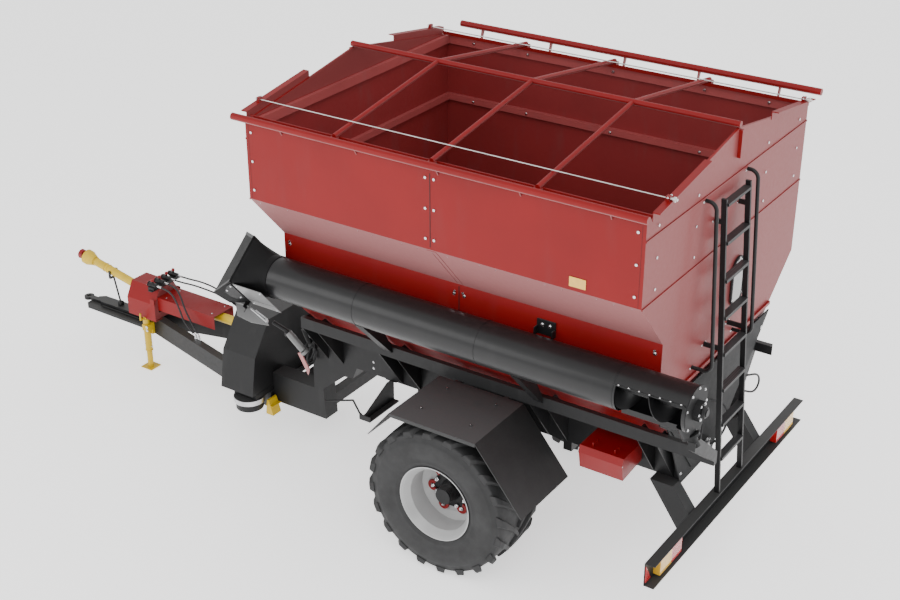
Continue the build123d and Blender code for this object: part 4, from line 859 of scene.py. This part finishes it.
def build_rear_details():
    bolts = Shapes()
    for y, z in ((0.62, 1.25), (0.80, 1.62), (0.98, 1.90), (-0.55, 1.72), (-0.85, 1.95), (0.05, 1.22)):
        bolts.bolt((REAR_WALL - 0.032, y, z), (-1, 0, 0), 0.011, 0.009)
    for index in range(6):
        angle = math.radians(60 * index + 30)
        bolts.bolt((REAR_WALL - 0.092, 0.27 + 0.056 * math.cos(angle), 1.365 + 0.056 * math.sin(angle)),
                   (-1, 0, 0), 0.008, 0.007)
    for z in (2.30, 3.38):
        for y in (0.30, -0.15):
            for shift in (-0.014, 0.014):
                bolts.bolt((REAR_WALL, y + shift * 2.4, z), (-1, 0, 0), 0.007, 0.006)
    for z in (2.18, 3.612):
        for y in (0.50, -0.27):
            bolts.bolt((REAR_WALL, y + 0.032, z), (-1, 0, 0), 0.008, 0.006)
    bolts.finish("rear_bolts", BOLT_STEEL, "wagon")
    ring = Shapes()
    steps = 40
    for index in range(steps):
        spots = []
        for at, grow in ((index, 0.0), (index + 1, 0.0), (index + 1, 0.022), (index, 0.022)):
            angle = 2 * math.pi * at / steps
            y = (0.095 + grow) * math.cos(angle)
            z = (0.095 + grow) * math.sin(angle) + (0.105 if math.sin(angle) > 0 else -0.105)
            spots.append((REAR_WALL - 0.008, -0.25 + y, 2.64 + z))
        ring.plate(spots, (-1, 0, 0), 0.013)
    ring.finish("sight_glass_gasket", HOSE, "wagon")
    ring_bolts = Shapes()
    for index in range(10):
        angle = 2 * math.pi * (index + 0.5) / 10
        z = 0.106 * math.sin(angle) + (0.105 if math.sin(angle) > 0 else -0.105)
        y = -0.25 + 0.106 * math.cos(angle)
        ring_bolts.bolt((REAR_WALL - 0.021, y, 2.64 + z), (-1, 0, 0), 0.006, 0.005)
    ring_bolts.finish("sight_glass_bolts", BOLT_STEEL, "wagon")
    plates = Shapes()
    foot_x, foot_z = AXLE_X - 2.065, 0.967
    lean = (0.170) / (3.570 - 0.967)
    z = 1.280
    while z < 3.5:
        x = foot_x + lean * (z - foot_z)
        plates.block((x - 0.033, -0.137, z + 0.0125), (x + 0.033, 0.287, z + 0.0165))
        z += 0.320
    plates.finish("tread_plates", TREAD, "wagon", 0.001)
    loop = [(-1.855, 0.12, 1.70), (-1.93, 0.06, 1.68), (-1.96, -0.06, 1.52), (-1.95, -0.04, 1.38),
            (-1.92, 0.06, 1.28), (-1.855, 0.12, 1.24)]
    smooth_tube("rear_pipe_1", [(AXLE_X + x, y, z) for x, y, z in loop], 0.009, HOSE)
    loop = [(-1.855, -0.50, 1.62), (-1.90, -0.62, 1.60), (-1.90, -0.80, 1.52), (-1.90, -0.86, 1.42),
            (-1.90, -0.78, 1.36), (-1.90, -0.62, 1.42), (-1.855, -0.50, 1.50)]
    smooth_tube("rear_pipe_3", [(AXLE_X + x, y, z) for x, y, z in loop], 0.009, HOSE)
    loop = [(-1.855, 0.35, 1.70), (-1.93, 0.40, 1.67), (-1.94, 0.46, 1.52), (-1.93, 0.42, 1.42),
            (-1.855, 0.34, 1.36)]
    smooth_tube("rear_pipe_2", [(AXLE_X + x, y, z) for x, y, z in loop], 0.008, HOSE)


def build_chassis_details():
    bolts = Shapes()
    for z in (1.304, 1.240):
        bolts.bolt((AXLE_X + 1.251, RAIL_Y, z), (0, 1, 0), 0.008, 0.007)
    for x in (0.25, -0.25):
        for y in (0.881, 1.276):
            for side in (1, -1):
                bolts.prism((AXLE_X + x, side * y, 1.497), (0, 0, 1), 0.008, 0.004, sides=6)
    bolts.finish("chassis_bolts", BOLT_STEEL, "wagon")
    lips = Shapes()
    for side in (1, -1):
        y0, y1 = sorted((side * 1.488, side * 1.496))
        lips.block((AXLE_X - 0.431, y0, 1.455), (AXLE_X + 0.431, y1, 1.4835))
    lips.finish("fender_lips", SHEET_BLACK, "wagon", 0.002)
    box_strap = Shapes()
    x0, x1 = AXLE_X - 1.504, AXLE_X - 1.096
    box_strap.block((x0, 0.952, 1.358), (x1, 0.9575, 1.3695))
    box_strap.finish("tool_box_strap", PALE_STEEL, "wagon")


BEAM_TOP = 0.600
BEAM_INSET = 0.255


def build_hose_ends():
    """The fittings on the drawbar's beams that the hoses run down into."""
    ends = Shapes()
    for y, _, route in HOSES:
        before, end = (Vector(place) for place in hose_places(y, route)[-2:])
        foot = Vector((end.x, end.y, BEAM_TOP))
        ends.prism(foot, (0, 0, 1), 0.018, 0.032)
        ends.prism(foot + Vector((0, 0, 0.032)), (0, 0, 1), 0.0125, end.z - BEAM_TOP - 0.022, sides=24)
        back = (before - end).normalized()
        ends.prism(end - back * 0.008, back, 0.0125, 0.045, sides=24)
        if abs(end.y + BEAM_INSET) < 0.02:      # this one stands beside its beam, on a bracket
            low, high = Vector((-0.03, -0.105, 0)), Vector((0.03, 0.03, 0.006))
            ends.block(foot + low, foot + high)
    ends.finish("hose_ends", BOLT_STEEL, "wagon")


def build_front_details():
    caps = Shapes()
    for y in COUPLER_YS:
        caps.prism((COUPLER_X + 0.114, y, COUPLER_Z), (1, 0, 0), 0.027, 0.020, sides=24, taper=0.9)
        caps.prism((COUPLER_X + 0.060, y, COUPLER_Z + 0.044), (0, 0, 1), 0.019, 0.022, sides=20, taper=0.8)
    caps.finish("coupler_caps", RED_PARTS, "wagon")
    collars = Shapes()
    for y in COUPLER_YS:
        collars.prism((COUPLER_X + 0.001, y, COUPLER_Z), (-1, 0, 0), 0.0125, 0.035, sides=6)
        collars.prism((COUPLER_X - 0.034, y, COUPLER_Z), (-1, 0, 0), 0.0115, 0.03, sides=24)
    collars.finish("hose_fittings", BOLT_STEEL, "wagon")
    cover = Shapes()
    for x in (3.72, 4.36):
        for y in (-0.10, 0.10):
            cover.bolt((AXLE_X + x, y, 0.872), (0, 0, 1), 0.006, 0.005)
    cover.finish("cover_bolts", BOLT_STEEL, "wagon")
    way = Vector(SHAFT_WAY).normalized()
    joint = Vector(SHAFT_JOINT)
    reach = Vector(SHAFT_WAY).length
    ribs = Shapes()
    for along in (0.62, 0.66, reach - 0.205, reach - 0.192):
        ribs.prism(joint + way * along, way, 0.050, 0.007, sides=40)
    for along in (0.05, 0.07, 0.09, 0.11, 0.13, 0.15):
        ribs.prism(joint + way * along, way, 0.052, 0.010, sides=40)
    ribs.finish("front_shaft_ribs", YELLOW_GUARD, "front_shaft")
    jack = Shapes()
    x, y = JACK_X, JACK_Y
    jack.rod((x, y, 0.590), (x, y, 0.612), 0.030, 28)
    jack.rod((x, y, 0.600), (x, y + 0.085, 0.604), 0.009)
    jack.rod((x, y + 0.080, 0.600), (x, y + 0.080, 0.680), 0.011)
    jack.prism((x, y, 0.205), (0, 0, 1), 0.042, 0.012, sides=32)
    jack.finish("jack_crank", YELLOW, "wagon")
    pins = Shapes()
    for side in (1, -1):
        pins.rod((x + side * 0.037, y, 0.26), (x + side * 0.058, y, 0.26), 0.007)
    for z in (0.475, 0.515):
        pins.bolt((x - 0.048, y + 0.050, z), (0, 1, 0))
    pins.finish("jack_pins", BOLT_STEEL, "wagon")
    ridge = Shapes()
    ridge.rod((AXLE_X + 4.78, 0.075, 0.474), (AXLE_X + 5.40, 0.075, 0.474), 0.008)
    ridge.rod((AXLE_X + 4.78, -0.075, 0.474), (AXLE_X + 5.40, -0.075, 0.474), 0.008)
    ridge.finish("nose_rods", BLACK, "wagon")
    guard = Shapes()
    front = AXLE_X + 2.900
    for y, z in ((0.80, 0.75), (0.76, 1.00), (0.50, 1.30), (-0.10, 1.30), (-0.28, 1.15), (-0.28, 0.75)):
        guard.bolt((front, y, z), (1, 0, 0), 0.009, 0.007)
    guard.finish("guard_bolts", BOLT_STEEL, "wagon")
    fold = Shapes()
    x = AXLE_X + 2.502
    fold.block((x, 0.590, 1.378), (x + 0.396, 0.606, 1.3825))
    fold.finish("guard_fold", BLACK, "wagon", 0.002)
    buffer = Shapes()
    x, y = AXLE_X + 2.640, 0.790
    steps = 48
    for index in range(steps):
        one, two = 2 * math.pi * index / steps, 2 * math.pi * (index + 1) / steps
        outline = []
        for angle, r in ((one, 0.150), (two, 0.150), (two, 0.154), (one, 0.154)):
            outline.append((x + r * math.cos(angle), y + r * math.sin(angle), 0.545))
        buffer.plate(outline, (0, 0, 1), 0.05)
    buffer.finish("damper_band", PALE_STEEL, "wagon")


def build_tarp_details():
    hooks = Shapes()
    low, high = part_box("tarp_cables")
    z = (low.z + high.z) / 2
    for side in (1, -1):
        for end in (FRONT_WALL + 0.045, REAR_WALL - 0.045):
            for shift in (-0.03, 0.03):
                hooks.bolt((end, side * CABLE_Y + shift, z + 0.012), (0, 0, 1), 0.007, 0.008)
    hooks.finish("cable_clamps", BOLT_STEEL, "wagon")


build_side_valves()
build_rear_details()
build_chassis_details()
build_hose_ends()
build_front_details()
build_tarp_details()
